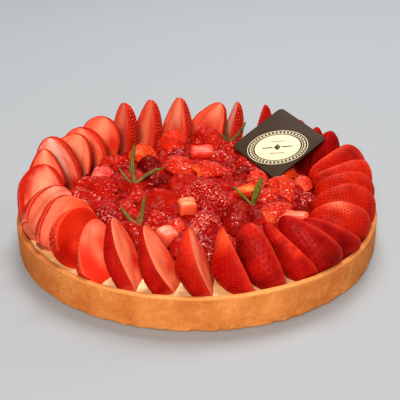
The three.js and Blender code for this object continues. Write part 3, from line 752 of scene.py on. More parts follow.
def flesh_finish(name, coat, coat_roughness):
    """A berry's wet cut face: a thin red rim, streaks that run in from it, a darker line round its heart."""
    finish = finish_of(name, (0.74, 0.085, 0.035), 0.4, Subsurface_Weight=0.5, Subsurface_Scale=5 * mm,
                       Subsurface_Radius=(1, 0.3, 0.18), Specular_IOR_Level=0.14, Coat_Weight=coat,
                       Coat_Roughness=coat_roughness)
    wires = Wiring(finish)
    place = wires.own_place()
    outer, heart = wires.stored("flesh_tint", "Color"), wires.stored("heart_tint", "Color")
    skin_tint = wires.stored("skin_tint", "Color")
    rim, core, along, side = (wires.stored(value) for value in ("rim", "core", "along", "side"))
    strip, band = wires.stored("strip"), wires.stored("band")
    slant = wires.times_plus(along, 15.0, wires.times(rim, -0.35))
    across = wires.times_plus(side, 1.6, wires.times(rim, 0.15))
    streak_place = wires.add("ShaderNodeCombineXYZ", None, X=slant, Y=across, Z=0.0).outputs[0]
    streaks = wires.add("ShaderNodeTexNoise", None, Vector=streak_place, Scale=0.9, Detail=2.5).outputs[0]
    cloud = wires.spread(wires.grain(place, 75, 3), 0.3, 0.7)
    red = wires.mixed(0.6, outer, skin_tint)
    wet = wires.mixed(wires.spread(wires.times_plus(cloud, 0.35, core), 0.45, 1.0), outer, heart)
    ring = wires.times(wires.spread(core, 0.3, 0.42), wires.spread(core, 0.42, 0.56, 1, 0))
    wet = wires.mixed(wires.times(ring, 0.45), wet, red)
    wet = wires.mixed(wires.times(wires.spread(streaks, 0.45, 0.75), 0.35), wet, heart)
    wet = wires.mixed(wires.times(wires.spread(streaks, 0.5, 0.25), 0.15), wet, red)
    wet = wires.mixed(wires.times(cloud, 0.25), wet, red)
    # Paler flesh and painted light: the lit strip makes one edge of the face paler.
    lit_edge = wires.times(wires.spread(side, -0.75, -0.2, 1, 0), strip)
    wet = wires.mixed(lit_edge, wet, (0.97, 0.33, 0.19))
    wet = wires.mixed(wires.spread(along, 0.02, 0.2, 0.6, 0), wet, red)
    ragged_rim = wires.times_plus(wires.grain(place, 450, 2), -1.4, rim)
    past_band = wires.maths("SUBTRACT", ragged_rim, band)
    banded = wires.times(wires.spread(past_band, -0.8, 0.4, 1, 0), wires.spread(band, 0, 0.2))
    wet = wires.mixed(banded, wet, wires.mixed(0.35, skin_tint, (0.8, 0.1, 0.05)))
    no_rim = wires.spread(wires.times(wires.spread(side, -0.5, 0, 1, 0), strip), 0, 1, 1, 0)
    line = wires.times(wires.spread(ragged_rim, -0.5, 0.3, 1, 0), wires.stored("line"))
    wet = wires.mixed(wires.times(line, no_rim), wet, wires.mixed(0.5, skin_tint, (0.2, 0.003, 0.004)))
    wires.colour(wet)
    wires.bump(streaks, 0.25 * mm, 0.35)
    return finish


berry_skin = skin_finish("strawberry_skin", 0.5, 0.08, 0.04, 0.25, 0.4)
berry_flesh = flesh_finish("strawberry_cut_face", 0.06, 0.2)
glazed_skin = skin_finish("glazed_strawberry_skin", 0.42, 0.1, 0.08, 0.15, 0.6)
glazed_flesh = flesh_finish("glazed_cut_face", 0.08, 0.15)

seed_finish = finish_of("strawberry_seed", (0.7, 0.4, 0.1), 0.4, Specular_IOR_Level=0.12, Coat_Weight=0.08,
                        Coat_Roughness=0.15)
wires = Wiring(seed_finish)
tint = wires.stored("tint", "Color")
uneven = wires.spread(wires.grain(wires.own_place(), 700, 1), 0.3, 0.7)
wires.colour(wires.mixed(uneven, tint, wires.mixed(0.3, tint, (0.3, 0.05, 0.01))))


def strewing_tree():
    """Geometry Nodes that set a small pip, or a pale crescent that is a painted highlight, on each point,
    turned to its facing and tipwards attributes."""
    tree = bpy.data.node_groups.new("pips_on_points", "GeometryNodeTree")
    tree.is_modifier = True
    tree.interface.new_socket("Geometry", in_out="INPUT", socket_type="NodeSocketGeometry")
    for name in ("Length", "Width", "Depth", "Least Size"):
        tree.interface.new_socket(name, in_out="INPUT", socket_type="NodeSocketFloat")
    tree.interface.new_socket("Crescent", in_out="INPUT", socket_type="NodeSocketBool")
    tree.interface.new_socket("Seed", in_out="INPUT", socket_type="NodeSocketInt")
    tree.interface.new_socket("Finish", in_out="INPUT", socket_type="NodeSocketMaterial")
    tree.interface.new_socket("Geometry", in_out="OUTPUT", socket_type="NodeSocketGeometry")

    def add(kind, settings=None, **sockets):
        return add_node(tree, kind, settings, **sockets)

    given = add("NodeGroupInput").outputs
    ball = add("GeometryNodeMeshIcoSphere", None, Radius=0.5, Subdivisions=1).outputs["Mesh"]
    bend = math.radians(150)
    bow = add("GeometryNodeCurveArc", None, Resolution=4, Radius=0.5, Sweep_Angle=bend).outputs[0]
    round_line = add("GeometryNodeCurvePrimitiveCircle", None, Resolution=3, Radius=0.17).outputs[0]
    crescent = add("GeometryNodeCurveToMesh", None, Curve=bow, Profile_Curve=round_line,
                   Fill_Caps=True).outputs[0]
    shape = add("GeometryNodeSwitch", {"input_type": "GEOMETRY"}, Switch=given["Crescent"], False_=ball,
                True_=crescent).outputs[0]
    size = add("ShaderNodeCombineXYZ", None, X=given["Width"], Y=given["Length"], Z=given["Depth"]).outputs[0]
    pip = add("GeometryNodeTransform", None, Geometry=shape, Scale=size).outputs[0]
    vector = {"data_type": "FLOAT_VECTOR"}
    facing = add("GeometryNodeInputNamedAttribute", vector, Name="facing").outputs["Attribute"]
    tipwards = add("GeometryNodeInputNamedAttribute", vector, Name="tipwards").outputs["Attribute"]
    upright = add("FunctionNodeAlignRotationToVector", {"axis": "Z"}, Vector=facing).outputs[0]
    turned_pip = add("FunctionNodeAlignRotationToVector", {"axis": "Y", "pivot_axis": "Z"}, Rotation=upright,
                     Vector=tipwards).outputs[0]
    scale = add("FunctionNodeRandomValue", {"data_type": "FLOAT"}, _2=given["Least Size"], _3=1.1,
                Seed=given["Seed"])
    strewn = add("GeometryNodeInstanceOnPoints", None, Points=given["Geometry"], Instance=pip,
                 Rotation=turned_pip, Scale=scale.outputs[1]).outputs[0]
    real = add("GeometryNodeRealizeInstances", None, Geometry=strewn).outputs[0]
    smooth = add("GeometryNodeSetShadeSmooth", None, Geometry=real).outputs[0]
    finished = add("GeometryNodeSetMaterial", None, Geometry=smooth, Material=given["Finish"]).outputs[0]
    add("NodeGroupOutput", None, _0=finished)
    return tree


pips_on_points = strewing_tree()


def strewn_piece(name, marks, tints, finish, length, width, depth, least=0.75, crescent=False, seed=1):
    """A piece of many pips or crescents at the marks: places in millimetres, ways out and ways to the tip."""
    spots, facing, tipwards = (np.concatenate([mark[i] for mark in marks]) for i in range(3))
    mesh = bpy.data.meshes.new(name + "_points")
    mesh.from_pydata([tuple(spot) for spot in spots * mm], [], [])
    holder = bpy.data.objects.new(name + "_points", mesh)
    bpy.context.scene.collection.objects.link(holder)
    for way, vectors in (("facing", facing), ("tipwards", tipwards)):
        attribute = mesh.attributes.new(way, "FLOAT_VECTOR", "POINT")
        attribute.data.foreach_set("vector", vectors.astype(np.float32).ravel())
    set_colours(holder, "tint", np.concatenate(tints))
    modifier = holder.modifiers.new("strew", "NODES")
    modifier.node_group = pips_on_points
    inputs = {"Length": length, "Width": width, "Depth": depth, "Least Size": least, "Crescent": crescent,
              "Seed": seed, "Finish": finish}
    for socket in pips_on_points.interface.items_tree:
        if socket.in_out == "INPUT" and socket.name in inputs:
            modifier[socket.identifier] = inputs[socket.name]
    made = bpy.data.meshes.new_from_object(holder.evaluated_get(bpy.context.evaluated_depsgraph_get()))
    bpy.data.objects.remove(holder)
    piece = bpy.data.objects.new(name, made)
    bpy.context.scene.collection.objects.link(piece)
    return piece


def tinted(part, skin, flesh, strip=0.0, band=0.0, line=0.8, glow=0.0):
    """Gives a part the colours of its skin and cut face, how pale one edge of the face is, partly paler flesh
    and partly painted light, how wide the red band along its rim is, how dark the line round it is, and how
    much the skin pales next to the cut."""
    count = len(part["points"])
    tints = {"skin_tint": skin, "flesh_tint": flesh[0], "heart_tint": flesh[1]}
    part["tints"] = {name: np.tile(tint, (count, 1)) for name, tint in tints.items()}
    for name, value in (("strip", strip), ("band", band), ("line", line)):
        part["values"][name] = np.full(count, value)
    part["values"]["edge"] = glow * part["values"]["edge"]
    return part


# Patches on the skins and the cut faces of the ring: some of another ripeness, many of painted light and
# shade, highlights where a skin or face turns to the light and shade on the sides and feet turned from it.
# Where each lies, how far it reaches, and its colour.
skin_ripeness_light_and_shade = [
    (87, -49, 45, 7, (0.95, 0.22, 0.11)),
    (15, -92, 45, 8, (0.85, 0.13, 0.05)),
    (-6, -101, 49, 9, (0.75, 0.06, 0.03)),
    (48, -89, 45, 4, (0.66, 0.05, 0.03)),
    (53, -91, 40, 3, (0.66, 0.05, 0.03)),
    (57, -93, 36, 3, (0.66, 0.05, 0.03)),
    (29, -90, 49, 6, (0.6, 0.03, 0.02)),
    (32, -101, 34, 8, (0.52, 0.016, 0.012)),
    (106, 23, 50, 9, (0.3, 0.008, 0.004)),
    (25, -93, 42, 6, (0.2, 0.003, 0.002)),
    (27, -99, 36, 5, (0.2, 0.003, 0.002)),
    (46, -91, 36, 5, (0.22, 0.003, 0.002)),
    (-70, -91, 29, 6, (0.35, 0.008, 0.004)),
    (77, -89, 30, 8, (0.2, 0.004, 0.003)),
    (86, -75, 28, 7, (0.17, 0.003, 0.003)),
    (44, -107, 23, 5, (0.3, 0.01, 0.005)),
    (88, -29, 48, 8, (0.36, 0.008, 0.003)),
    (92, -18, 49, 6, (0.42, 0.012, 0.003)),
    (86, 0, 42, 7, (0.36, 0.01, 0.003)),
    (84, -56, 40, 6, (0.44, 0.016, 0.006)),
    (-82, -82, 35, 6, (0.4, 0.01, 0.004)),
    (-37, -81, 34, 5, (0.72, 0.09, 0.035)),
]
face_ripeness_light_and_shade = [
    (-61, -71, 39, 7, (0.92, 0.26, 0.15)),
    (-66, -79, 38, 5, (0.92, 0.24, 0.14)),
    (-61, -78, 32, 4, (0.92, 0.26, 0.15)),
    (-58, -82, 28, 4, (0.92, 0.26, 0.15)),
    (-56, -86, 24, 3, (0.85, 0.2, 0.12)),
    (-57, -73, 33, 4, (0.84, 0.1, 0.04)),
    (-53, -74, 31, 4, (0.75, 0.06, 0.03)),
    (-65, -90, 28, 6, (0.8, 0.05, 0.03)),
    (-59, -91, 22, 5, (0.8, 0.06, 0.035)),
    (-76, -84, 28, 8, (0.42, 0.008, 0.003)),
    (-74, -68, 49, 9, (0.72, 0.06, 0.018)),
    (-35.5, -88, 28, 5, (0.66, 0.04, 0.02)),
    (-33, -82, 36, 4, (0.8, 0.08, 0.045)),
    (-23, -94, 43, 7, (0.94, 0.3, 0.18)),
    (-15, -97, 29, 4, (0.75, 0.08, 0.04)),
    (-23, -108, 36, 5, (0.82, 0.09, 0.06)),
    (-70, -40, 40, 7, (0.82, 0.11, 0.035)),
    (-75, -44, 43, 5, (0.88, 0.2, 0.09)),
    (-54, 81, 40, 8, (0.6, 0.035, 0.016)),
    (-60, 63, 39, 9, (0.66, 0.06, 0.025)),
    (3, -92, 37, 8, (0.9, 0.16, 0.09)),
    (-2, -99, 48, 4, (0.97, 0.4, 0.28)),
    (0, -100, 42, 4, (0.95, 0.36, 0.24)),
    (-112, -20, 41, 4, (0.5, 0.02, 0.012)),
    (-111, -16, 46, 4, (0.52, 0.022, 0.013)),
    (-108, -10, 51, 4, (0.56, 0.03, 0.018)),
    (-103, -4, 52, 4, (0.62, 0.05, 0.03)),
    (-92, -27, 46, 6, (0.96, 0.55, 0.4)),
    (9, 100, 36, 11, (0.68, 0.05, 0.025)),
    (-15, 95, 33, 10, (0.62, 0.04, 0.02)),
    (-84, 13, 30, 7, (0.6, 0.03, 0.015)),
    (-71, -74, 31, 4, (0.84, 0.1, 0.04)),
]


def patched(points, tints, patches):
    """Colours with the patches laid over them, at points in millimetres."""
    for x, y, z, reach, colour in patches:
        share = np.exp(-((np.linalg.norm(points - (x, y, z), axis=1) / reach) ** 2))[:, None]
        tints = tints + share * (np.array(colour) - tints)
    return tints


def stance(berry):
    """Where a half of the ring stands: its axes and its foot."""
    names = ("at", "tall", "wide", "lean", "tilt", "roll", "shoulder", "widest")
    return standing_place(**{name: berry[name] for name in names if name in berry})


def still_there(spots, held):
    """Which marks stay: those where the skin under them isn't pressed flat."""
    return np.linalg.norm(held - spots, axis=1) < 0.05


seed_tints = {
    "bright": (0.75, 0.2, 0.1),
    # The pearled seeds are made pale with painted highlights.
    "pearled": (0.97, 0.42, 0.26),
    "ripe": (0.95, 0.3, 0.17),
    "rough": (0.25, 0.02, 0.004),
    "deep": (0.58, 0.07, 0.03),
    "dark": (0.36, 0.02, 0.012),
}
seed_gaps = {"rough": 2.2, "pearled": 2.6}
dimples = {"rough": 0.5, "pearled": 0.45}
seed_sunk = 0.12  # how deep a seed sits in its dimple
form_names = ("tall", "wide", "shoulder", "blunt", "widest", "undercut")
look_defaults = {"strip": 0, "band": 0, "line": 0.8, "glow": 0.2}
patches_on = {"skin_tint": skin_ripeness_light_and_shade, "flesh_tint": face_ripeness_light_and_shade, "heart_tint": face_ripeness_light_and_shade}
ring_marks, ring_tints = [], []
for index, berry in enumerate(standing_halves, 1):
    skin = berry["skin"]
    form = {name: berry[name] for name in form_names if name in berry}
    part = half_berry(thick=berry["wide"] / 2, seed=100 + index, seed_gap=seed_gaps.get(skin, 3.4),
                      rim_gap=2.4 if "glow" in berry else 0, dimple=dimples.get(skin, 0.32), **form)
    look = {name: berry.get(name, usual) for name, usual in look_defaults.items()}
    part = tinted(part, skin_tints[skin], flesh_tints[berry["flesh"]], **look)
    axes, foot = stance(berry)
    part["points"] = held_under_plaque(held_off_wall(part["points"] @ axes + foot))
    # Lays on the patches of ripeness and of painted light and shade.
    for tint, patches in patches_on.items():
        part["tints"][tint] = patched(part["points"], part["tints"][tint], patches)
    half = berry_piece(f"standing_half_{index:02d}", part, [berry_skin, berry_flesh])
    ride_tart(half, "strawberry", f"berry_half_{index:02d}")
    spots, facing, tipwards = (vectors @ axes for vectors in part["marks"]["seeds"])
    spots = spots + foot
    kept = still_there(spots, held_under_plaque(held_off_wall(spots)))
    ring_marks.append((spots[kept] - seed_sunk * facing[kept], facing[kept], tipwards[kept]))
    ring_tints.append(np.tile(seed_tints[skin], (kept.sum(), 1)))
standing_seeds = strewn_piece("standing_seeds", ring_marks, ring_tints, seed_finish, 1.2 * mm, 0.7 * mm,
                              0.45 * mm)
ride_tart(standing_seeds, "strawberry")

# ---- The heap of cut strawberries --------------------------------------------------------------------------
# Berries cut into halves and small pieces, tossed in a clear red glaze and heaped inside the ring. The glaze
# fills the hollows between them, and pale crescents on it and on the pieces are painted highlights.

heap_radius = 86
heap_foot = 16
core_height = 33
core_drop = 4  # how much lower the core is 80 mm from its middle
heap_fall = 0.05  # how much the heap falls towards the front, for each millimetre
into_core = 2  # how deep the pieces are pressed into the core


def dome(radius):
    """Height of the heap's core in millimetres, a low dome, at a distance from its middle."""
    return core_height - core_drop * (radius / 80) ** 2


def core_top(x, y):
    """Height of the core where it falls a little to the front."""
    return dome(np.hypot(x, y)) + heap_fall * y


ring_rooms = [(berry, *stance(berry)) for berry in standing_halves]


def held_off_ring(points):
    """Moves what would enter a standing half inwards, so that the heap is dented by the half instead."""
    held = points.copy()
    room, step, most_steps = 0.4, 0.5, 50
    for berry, axes, foot in ring_rooms:
        wide, tall = berry["wide"] / 2 + room, berry["tall"] + room
        active = np.flatnonzero(np.linalg.norm(held - (foot + axes[2] * tall / 2), axis=1) < tall)
        for _ in range(most_steps):
            local = (held[active] - foot) @ axes.T
            share = np.clip(local[:, 2] / tall, 0, 1)
            radius = wide * berry_radius(share, berry.get("shoulder", 0.6), berry.get("blunt", 1.75),
                                         berry.get("widest", 0.3))
            inside = (local[:, 1] > -room) & (np.hypot(local[:, 0], local[:, 1]) < radius)
            inside &= (local[:, 2] > -room) & (local[:, 2] < tall)
            active = active[inside]
            if not len(active):
                break
            held[active] -= step * unit(held[active] * (1, 1, 0))
    return held


def pressed(points):
    """Moves what would enter a standing half or the plaque, in millimetres."""
    return held_under_plaque(held_off_ring(points))


# How each kind of piece looks: its skin and cut face, how far apart its seeds are, how deep they sit, their
# colour, and how many glints, painted highlights, lie on its glaze.
heap_kinds = {
    "smooth": dict(skin=(0.4, 0.012, 0.006), flesh="red", gap=4.4, dimple=0.12,
                   seed=(0.5, 0.05, 0.02), glints=10),
    "seeded": dict(skin=(0.42, 0.012, 0.006), flesh="red", gap=3.2, dimple=0.35,
                   seed=(0.7, 0.14, 0.07), glints=45),
    "sparkly": dict(skin=(0.4, 0.011, 0.008), flesh="red", gap=2.8, dimple=0.42,
                    seed=(0.75, 0.17, 0.12), glints=120),
    "frosted": dict(skin=(0.37, 0.009, 0.007), flesh="red", gap=2.6, dimple=0.45,
                    seed=(0.75, 0.18, 0.14), glints=240),
    "pink": dict(skin=(0.72, 0.09, 0.07), flesh="rosy", gap=2.5, dimple=0.5,
                 seed=(0.95, 0.42, 0.36), glints=130),
    # The dark kind is partly darker fruit and partly painted shade, laid where the heap falls into shadow.
    "dark": dict(skin=(0.16, 0.002, 0.002), flesh="red", gap=4.2, dimple=0.12,
                 seed=(0.4, 0.03, 0.03), glints=12),
    "mound": dict(skin=(0.26, 0.004, 0.004), flesh="red", gap=3.6, dimple=0.25,
                  seed=(0.42, 0.04, 0.04), glints=50),
    "dusky": dict(skin=(0.24, 0.003, 0.01), flesh="red", gap=2.7, dimple=0.4,
                  seed=(0.6, 0.12, 0.12), glints=110),
    "coral": dict(skin=(0.58, 0.035, 0.013), flesh="salmon", gap=3.6, dimple=0.25,
                  seed=(0.85, 0.2, 0.1), glints=24),
    "flaming": dict(skin=(0.56, 0.035, 0.014), flesh="amber", gap=2.8, dimple=0.4,
                    seed=(0.9, 0.32, 0.2), glints=80),
    "orange": dict(skin=(0.66, 0.07, 0.018), flesh="amber", gap=3.4, dimple=0.3,
                   seed=(0.95, 0.4, 0.1), glints=18),
    "tawny": dict(skin=(0.6, 0.05, 0.02), flesh="salmon", gap=3, dimple=0.35,
                  seed=(0.9, 0.3, 0.17), glints=60),
}

# Each piece: where it lies, its length and width, which way its axis points, its roll (0 is skin up, 180 is
# cut face up), and its kind.
heap_pieces = [
    (-74, -14, 24, 21, 80, 10, "sparkly"),
    (-60, -7, 27, 22, 30, 0, "seeded"),
    (-65, 24, 19, 16, 150, 0, "pink"),
    (-73, 6, 20, 17, 60, 0, "seeded"),
    (-57, -36, 20, 16, 15, -10, "dusky"),
    (-60, 41, 24, 18, 130, 20, "seeded"),
    (-40, 53, 25, 21, 160, 25, "orange"),
    (-33, 31, 22, 18, 20, 0, "dark"),
    (-17, 67, 30, 25, 0, 0, "coral"),
    (-14, 46, 22, 17, -20, 10, "dusky"),
    (-42, 13, 14, 11, 60, 150, "dark"),
    (-41, 0, 20, 19, 20, 0, "smooth"),
    (-26, 4, 22, 17, 100, -30, "dark"),
    (-36, -14, 17, 13, 80, 20, "seeded"),
    (-47, -25, 18, 14, 200, 10, "seeded"),
    (-39, -37, 17, 14, 70, 0, "smooth"),
    (-21, -21, 27, 20, 75, 15, "smooth"),
    (-23, -49, 22, 19, 30, 0, "sparkly"),
    (-36, -57, 22, 21, 120, 10, "seeded"),
    (-12, -53, 17, 13, 10, 20, "tawny"),
    (-8, -70, 20, 15, 100, 20, "smooth"),
    (4, -74, 21, 16, 15, 0, "dusky"),
    (-9, 24, 26, 20, 40, 30, "flaming"),
    (-9, 4, 25, 19, 120, 0, "smooth"),
    (-5, -16, 20, 17, 20, 10, "sparkly"),
    (9, 74, 29, 27, 30, 0, "seeded"),
    (19, 44, 19, 15, 80, 0, "sparkly"),
    (24, 58, 20, 20, 10, 0, "seeded"),
    (9, 22, 26, 20, 110, 30, "flaming"),
    (31, 22, 18, 14, -40, -10, "dark"),
    (9, -19, 31, 26, 60, 0, "frosted"),
    (4, -48, 23, 18, -30, 0, "frosted"),
    (22, -6, 21, 14, 100, -20, "smooth"),
    (26, -43, 30, 24, -10, 0, "mound"),
    (19, -68, 17, 14, 60, 30, "sparkly"),
    (34, -12, 18, 15, 30, 170, "orange"),
    (46, -13, 18, 15, 90, 10, "flaming"),
    (51, -33, 24, 20, 130, 0, "flaming"),
    (59, -5, 26, 20, 20, 20, "tawny"),
    (72, -16, 20, 17, 70, 0, "dusky"),
    (72, 11, 18, 15, 150, 20, "tawny"),
    (68, -36, 20, 16, 40, 0, "dark"),
    (41, -62, 21, 16, 150, 10, "smooth"),
    (42, 8, 25, 18, 0, 0, "flaming"),
    (36, 32, 22, 18, 60, 0, "seeded"),
    (62, 22, 24, 18, 100, 0, "orange"),
    (-72, -40, 18, 15, 50, 0, "smooth"),
    (40, 62, 24, 18, 140, 0, "seeded"),
]


def turns(*steps):
    """Turns about axes by degrees, one after the other, as one 3 by 3 array."""
    whole = Matrix.Identity(3)
    for axis, angle in steps:
        whole = Matrix.Rotation(math.radians(angle), 3, axis) @ whole
    return np.array(whole)


def crushed(points, middle):
    """Swells and dents a heap piece a little, as soft fruit is pressed by what lies on it."""
    return points + unit(points - middle) * (0.3 + 1.4 * lattice_noise(points, 0.16, 4.0, 2))[:, None]


def joined(shapes):
    """Several shapes, each of points and faces, as one."""
    faces, start = [], 0
    for points, sides in shapes:
        faces += [tuple(int(i) + start for i in side) for side in sides]
        start += len(points)
    return np.concatenate([points for points, _ in shapes]), faces


def merged(parts):
    """Several berry parts as one: their points, faces, which faces are cut, and what their finishes read."""
    points, faces = joined([(part["points"], part["faces"]) for part in parts])
    whole = {"points": points, "faces": faces, "cut": np.concatenate([part["cut"] for part in parts])}
    for kind in ("values", "tints"):
        whole[kind] = {name: np.concatenate([part[kind][name] for part in parts]) for name in parts[0][kind]}
    return whole


chance = repeatable(11)
groups = {"left": [], "middle": [], "right": []}
heap_seeds, heap_seed_tints, heap_glints, glint_tints = [], [], [], []
# Glints are pale crescents that stand for painted highlights on the wet glaze, turned to the light.
to_light = np.array([-0.1, -0.75, 0.65])
glint_shades = np.array([(0.78, 0.1, 0.07), (1.0, 0.66, 0.58)])
for index, (x, y, long, wide, yaw, roll, kind) in enumerate(heap_pieces):
    look = heap_kinds[kind]
    thick = 0.62 * wide
    pitch, sunk = 30 * next(chance) - 15, into_core + next(chance)
    part = half_berry(long, wide, thick, seed_gap=look["gap"], dimple=look["dimple"], mesh_gap=0.7,
                      glints=look["glints"], seed=300 + index)
    tinted(part, look["skin"], flesh_tints[look["flesh"]])
    turn = turns(("X", 90), ("Y", roll), ("X", pitch), ("Z", yaw))
    middle = np.array([x, y, core_top(x, y) + 0.5 * thick - sunk])
    centre = np.array([0, -0.5 * thick, -0.45 * long])
    part["points"] = pressed(crushed((part["points"] + centre) @ turn.T + middle, middle))
    groups["left" if x < -30 else "right" if x > 21 else "middle"].append(part)
    for marks, sunk_by, found in (("seeds", seed_sunk, heap_seeds), ("glints", 0.0, heap_glints)):
        spots, facing, tipwards = part["marks"][marks]
        spots = crushed((spots + centre) @ turn.T + middle, middle)
        facing, tipwards = facing @ turn.T, tipwards @ turn.T
        kept = still_there(spots, pressed(spots))
        kept &= facing[:, 2] > (-0.3 if marks == "seeds" else 0.0)
        if marks == "glints":
            to_side = np.array([(next(chance) - 0.5, next(chance) - 0.5, 0) for _ in facing])
            tipwards = np.cross(facing, to_light + 1.6 * to_side)
        found.append((spots[kept] - sunk_by * facing[kept], facing[kept], tipwards[kept]))
    heap_seed_tints.append(np.tile(look["seed"], (len(heap_seeds[-1][0]), 1)))
    shares = np.array([[next(chance)] for _ in heap_glints[-1][0]]).reshape(-1, 1)
    glint_tints.append(glint_shades[0] + shares**2 * (glint_shades[1] - glint_shades[0]))
for side, parts in groups.items():
    berries = berry_piece(f"cut_berries_{side}", merged(parts), [glazed_skin, glazed_flesh])
    ride_tart(berries, "glazed_strawberry", "berry_heap")

berry_seeds = strewn_piece("heap_seeds", heap_seeds, heap_seed_tints, seed_finish, 1.3 * mm, 0.8 * mm,
                           0.5 * mm, seed=2)
ride_tart(berry_seeds, "glazed_strawberry", "berry_heap")
core_finish = finish_of("red_glaze", (0.36, 0.008, 0.006), 0.4, Subsurface_Weight=0.2,
                        Subsurface_Scale=3 * mm, Specular_IOR_Level=0.1, Coat_Weight=0.08,
                        Coat_Roughness=0.15)
wires = Wiring(core_finish)
place = wires.own_place()
cloud = wires.spread(wires.grain(place, 160, 3), 0.35, 0.65)
wires.colour(wires.mixed(cloud, (0.2, 0.002, 0.002), (0.4, 0.012, 0.006)))
wires.bump(wires.grain(place, 420, 3), 0.8 * mm, 0.8)
glaze_depth = 3  # how high the glaze stands over the core
core_profile = [(0, heap_foot), (70, heap_foot), (heap_radius, heap_foot), (heap_radius, heap_foot + 6)]
core_profile += [(radius, dome(radius)) for radius in np.linspace(heap_radius - 3, 3, 64)] + [(0, dome(0))]


def glaze_rise(x, y):
    """How far the glaze and the small pieces in it stand over the core, sinking towards the rim."""
    flat = np.stack([x, y, 0 * x], -1).reshape(-1, 3)
    swell = lattice_noise(flat, 0.11, 2.0, 2).reshape(x.shape)
    lumps = np.abs(lattice_noise(flat, 0.21, 9.0, 1)).reshape(x.shape)
    flows = np.clip((heap_radius - 4 - np.hypot(x, y)) / 12, 0, 1)
    return glaze_depth * flows + 2.2 * swell - 2.0 * lumps


def core_shift(radius, height, turn):
    """The heap's fall to the front, and the glaze over it."""
    radius, height = radius / mm, height / mm
    x, y = radius * np.cos(turn), radius * np.sin(turn)
    return 0 * radius, np.where(height > heap_foot + 6.5, heap_fall * y + glaze_rise(x, y), 0) * mm


core_points, core_faces = turned([(r * mm, z * mm) for r, z in core_profile], 300, core_shift)
core_points = pressed(core_points / mm) * mm
core = add_piece("heap_core", core_points, core_faces, [core_finish])
ride_tart(core, "glazed_strawberry", "berry_heap")

# Painted highlights, glints, lie on the glaze between the pieces too.
between_count = 900
between_reach = 78
strewn = np.array([(next(chance), next(chance)) for _ in range(between_count)])
reach = between_reach * np.sqrt(strewn[:, 0])
x, y = reach * np.cos(2 * math.pi * strewn[:, 1]), reach * np.sin(2 * math.pi * strewn[:, 1])
spots = np.stack([x, y, core_top(x, y) + glaze_rise(x, y)], -1)
kept = still_there(spots, pressed(spots))
up = np.tile((0.0, -0.2, 0.98), (kept.sum(), 1))
heap_glints.append((spots[kept], up, np.cross(up, to_light + np.stack([x, y, 0 * y], -1)[kept] / 40)))
glint_tints.append(np.tile(glint_shades[0], (kept.sum(), 1)))
# The glints' finish: a pale pink that paints the highlights.
glint_finish = finish_of("painted_glint", glint_shades[1], 0.2, Coat_Weight=0.6, Coat_Roughness=0.1)
wires = Wiring(glint_finish)
wires.colour(wires.stored("tint", "Color"))
painted_glints = strewn_piece("painted_glints", heap_glints, glint_tints, glint_finish, 2.0 * mm, 1.7 * mm,
                            1.1 * mm, least=0.5, crescent=True, seed=3)
ride_tart(painted_glints, "glazed_strawberry", "berry_heap")

# Small blocks cut from the middle of a berry: where each lies, its length, width, height and turn, and the
# colours of its sides and its top.
heap_blocks = [
    (-6, -34, 11, 10, 12, 15, (0.76, 0.16, 0.08), (0.76, 0.24, 0.1)),
    (-18, -66, 11, 11, 12, 40, (0.76, 0.17, 0.1), (0.8, 0.26, 0.17)),
    (4, 50, 17, 12, 10, 5, (0.5, 0.02, 0.015), (0.66, 0.07, 0.045)),
    (62, -40, 17, 8, 9, -20, (0.6, 0.07, 0.035), (0.72, 0.15, 0.08)),
]


def rounded_block(size, corner, steps=9):
    """A box with round corners in millimetres: its points and faces."""
    line = np.linspace(-1, 1, steps)
    u, v = np.meshgrid(line, line, indexing="ij")
    one = np.ones_like(u)
    sheets = [(u, v, one), (v, u, -one), (one, u, v), (-one, v, u), (v, one, u), (u, -one, v)]
    points = np.concatenate([np.stack(sheet, -1).reshape(-1, 3) for sheet in sheets])
    row, column = np.divmod(np.arange((steps - 1) ** 2), steps - 1)
    corner_at = row * steps + column
    quads = np.stack([corner_at, corner_at + steps, corner_at + steps + 1, corner_at + 1], -1)
    faces = np.concatenate([quads + k * steps**2 for k in range(6)])
    _, first, which = np.unique(np.round(points, 5), axis=0, return_index=True, return_inverse=True)
    points, faces = points[first], which.ravel()[faces]
    half = np.array(size) / 2
    inner = np.clip(points * half, corner - half, half - corner)
    return inner + corner * unit(points * half - inner), faces


block_finish = finish_of("berry_block", (0.9, 0.3, 0.15), 0.4, Subsurface_Weight=0.35,
                         Subsurface_Scale=3 * mm, Subsurface_Radius=(1, 0.4, 0.2), Specular_IOR_Level=0.2,
                         Coat_Weight=0.2, Coat_Roughness=0.2)
wires = Wiring(block_finish)
cloud = wires.spread(wires.grain(wires.own_place(), 240, 3), 0.35, 0.65)
wires.colour(wires.mixed(wires.times(cloud, 0.5), wires.stored("tint", "Color"), (0.85, 0.1, 0.04)))
block_corner = 1.6
block_shapes, block_tints = [], []
for x, y, long, wide, tall, turn, side_tint, top_tint in heap_blocks:
    points, faces = rounded_block((long, wide, tall), block_corner)
    top_share = np.clip(points[:, 2:] / tall + 0.1, 0, 1) * (1 - np.abs(points[:, :1]) / long)
    block_tints.append(np.array(side_tint) + top_share * 1.6 * (np.array(top_tint) - side_tint))
    points = points + 0.5 * lattice_noise(points, 0.2, x, 2)[:, None]
    middle = (x, y, core_top(x, y) + tall / 2 - into_core)
    block_shapes.append((points @ turns(("X", 12), ("Z", turn)).T + middle, faces))
block_points, block_faces = joined(block_shapes)
blocks = add_piece("berry_blocks", held_off_ring(block_points) * mm, block_faces, [block_finish])
set_colours(blocks, "tint", np.clip(np.concatenate(block_tints), 0, 1))
ride_tart(blocks, "glazed_strawberry", "berry_heap")

# ---- The rosemary tips -------------------------------------------------------------------------------------
# Four tips of rosemary stand in the heap, each a few narrow leaves from one foot. A leaf is grooved along its
# middle and its edges curl down, and short new leaves stand at its foot.

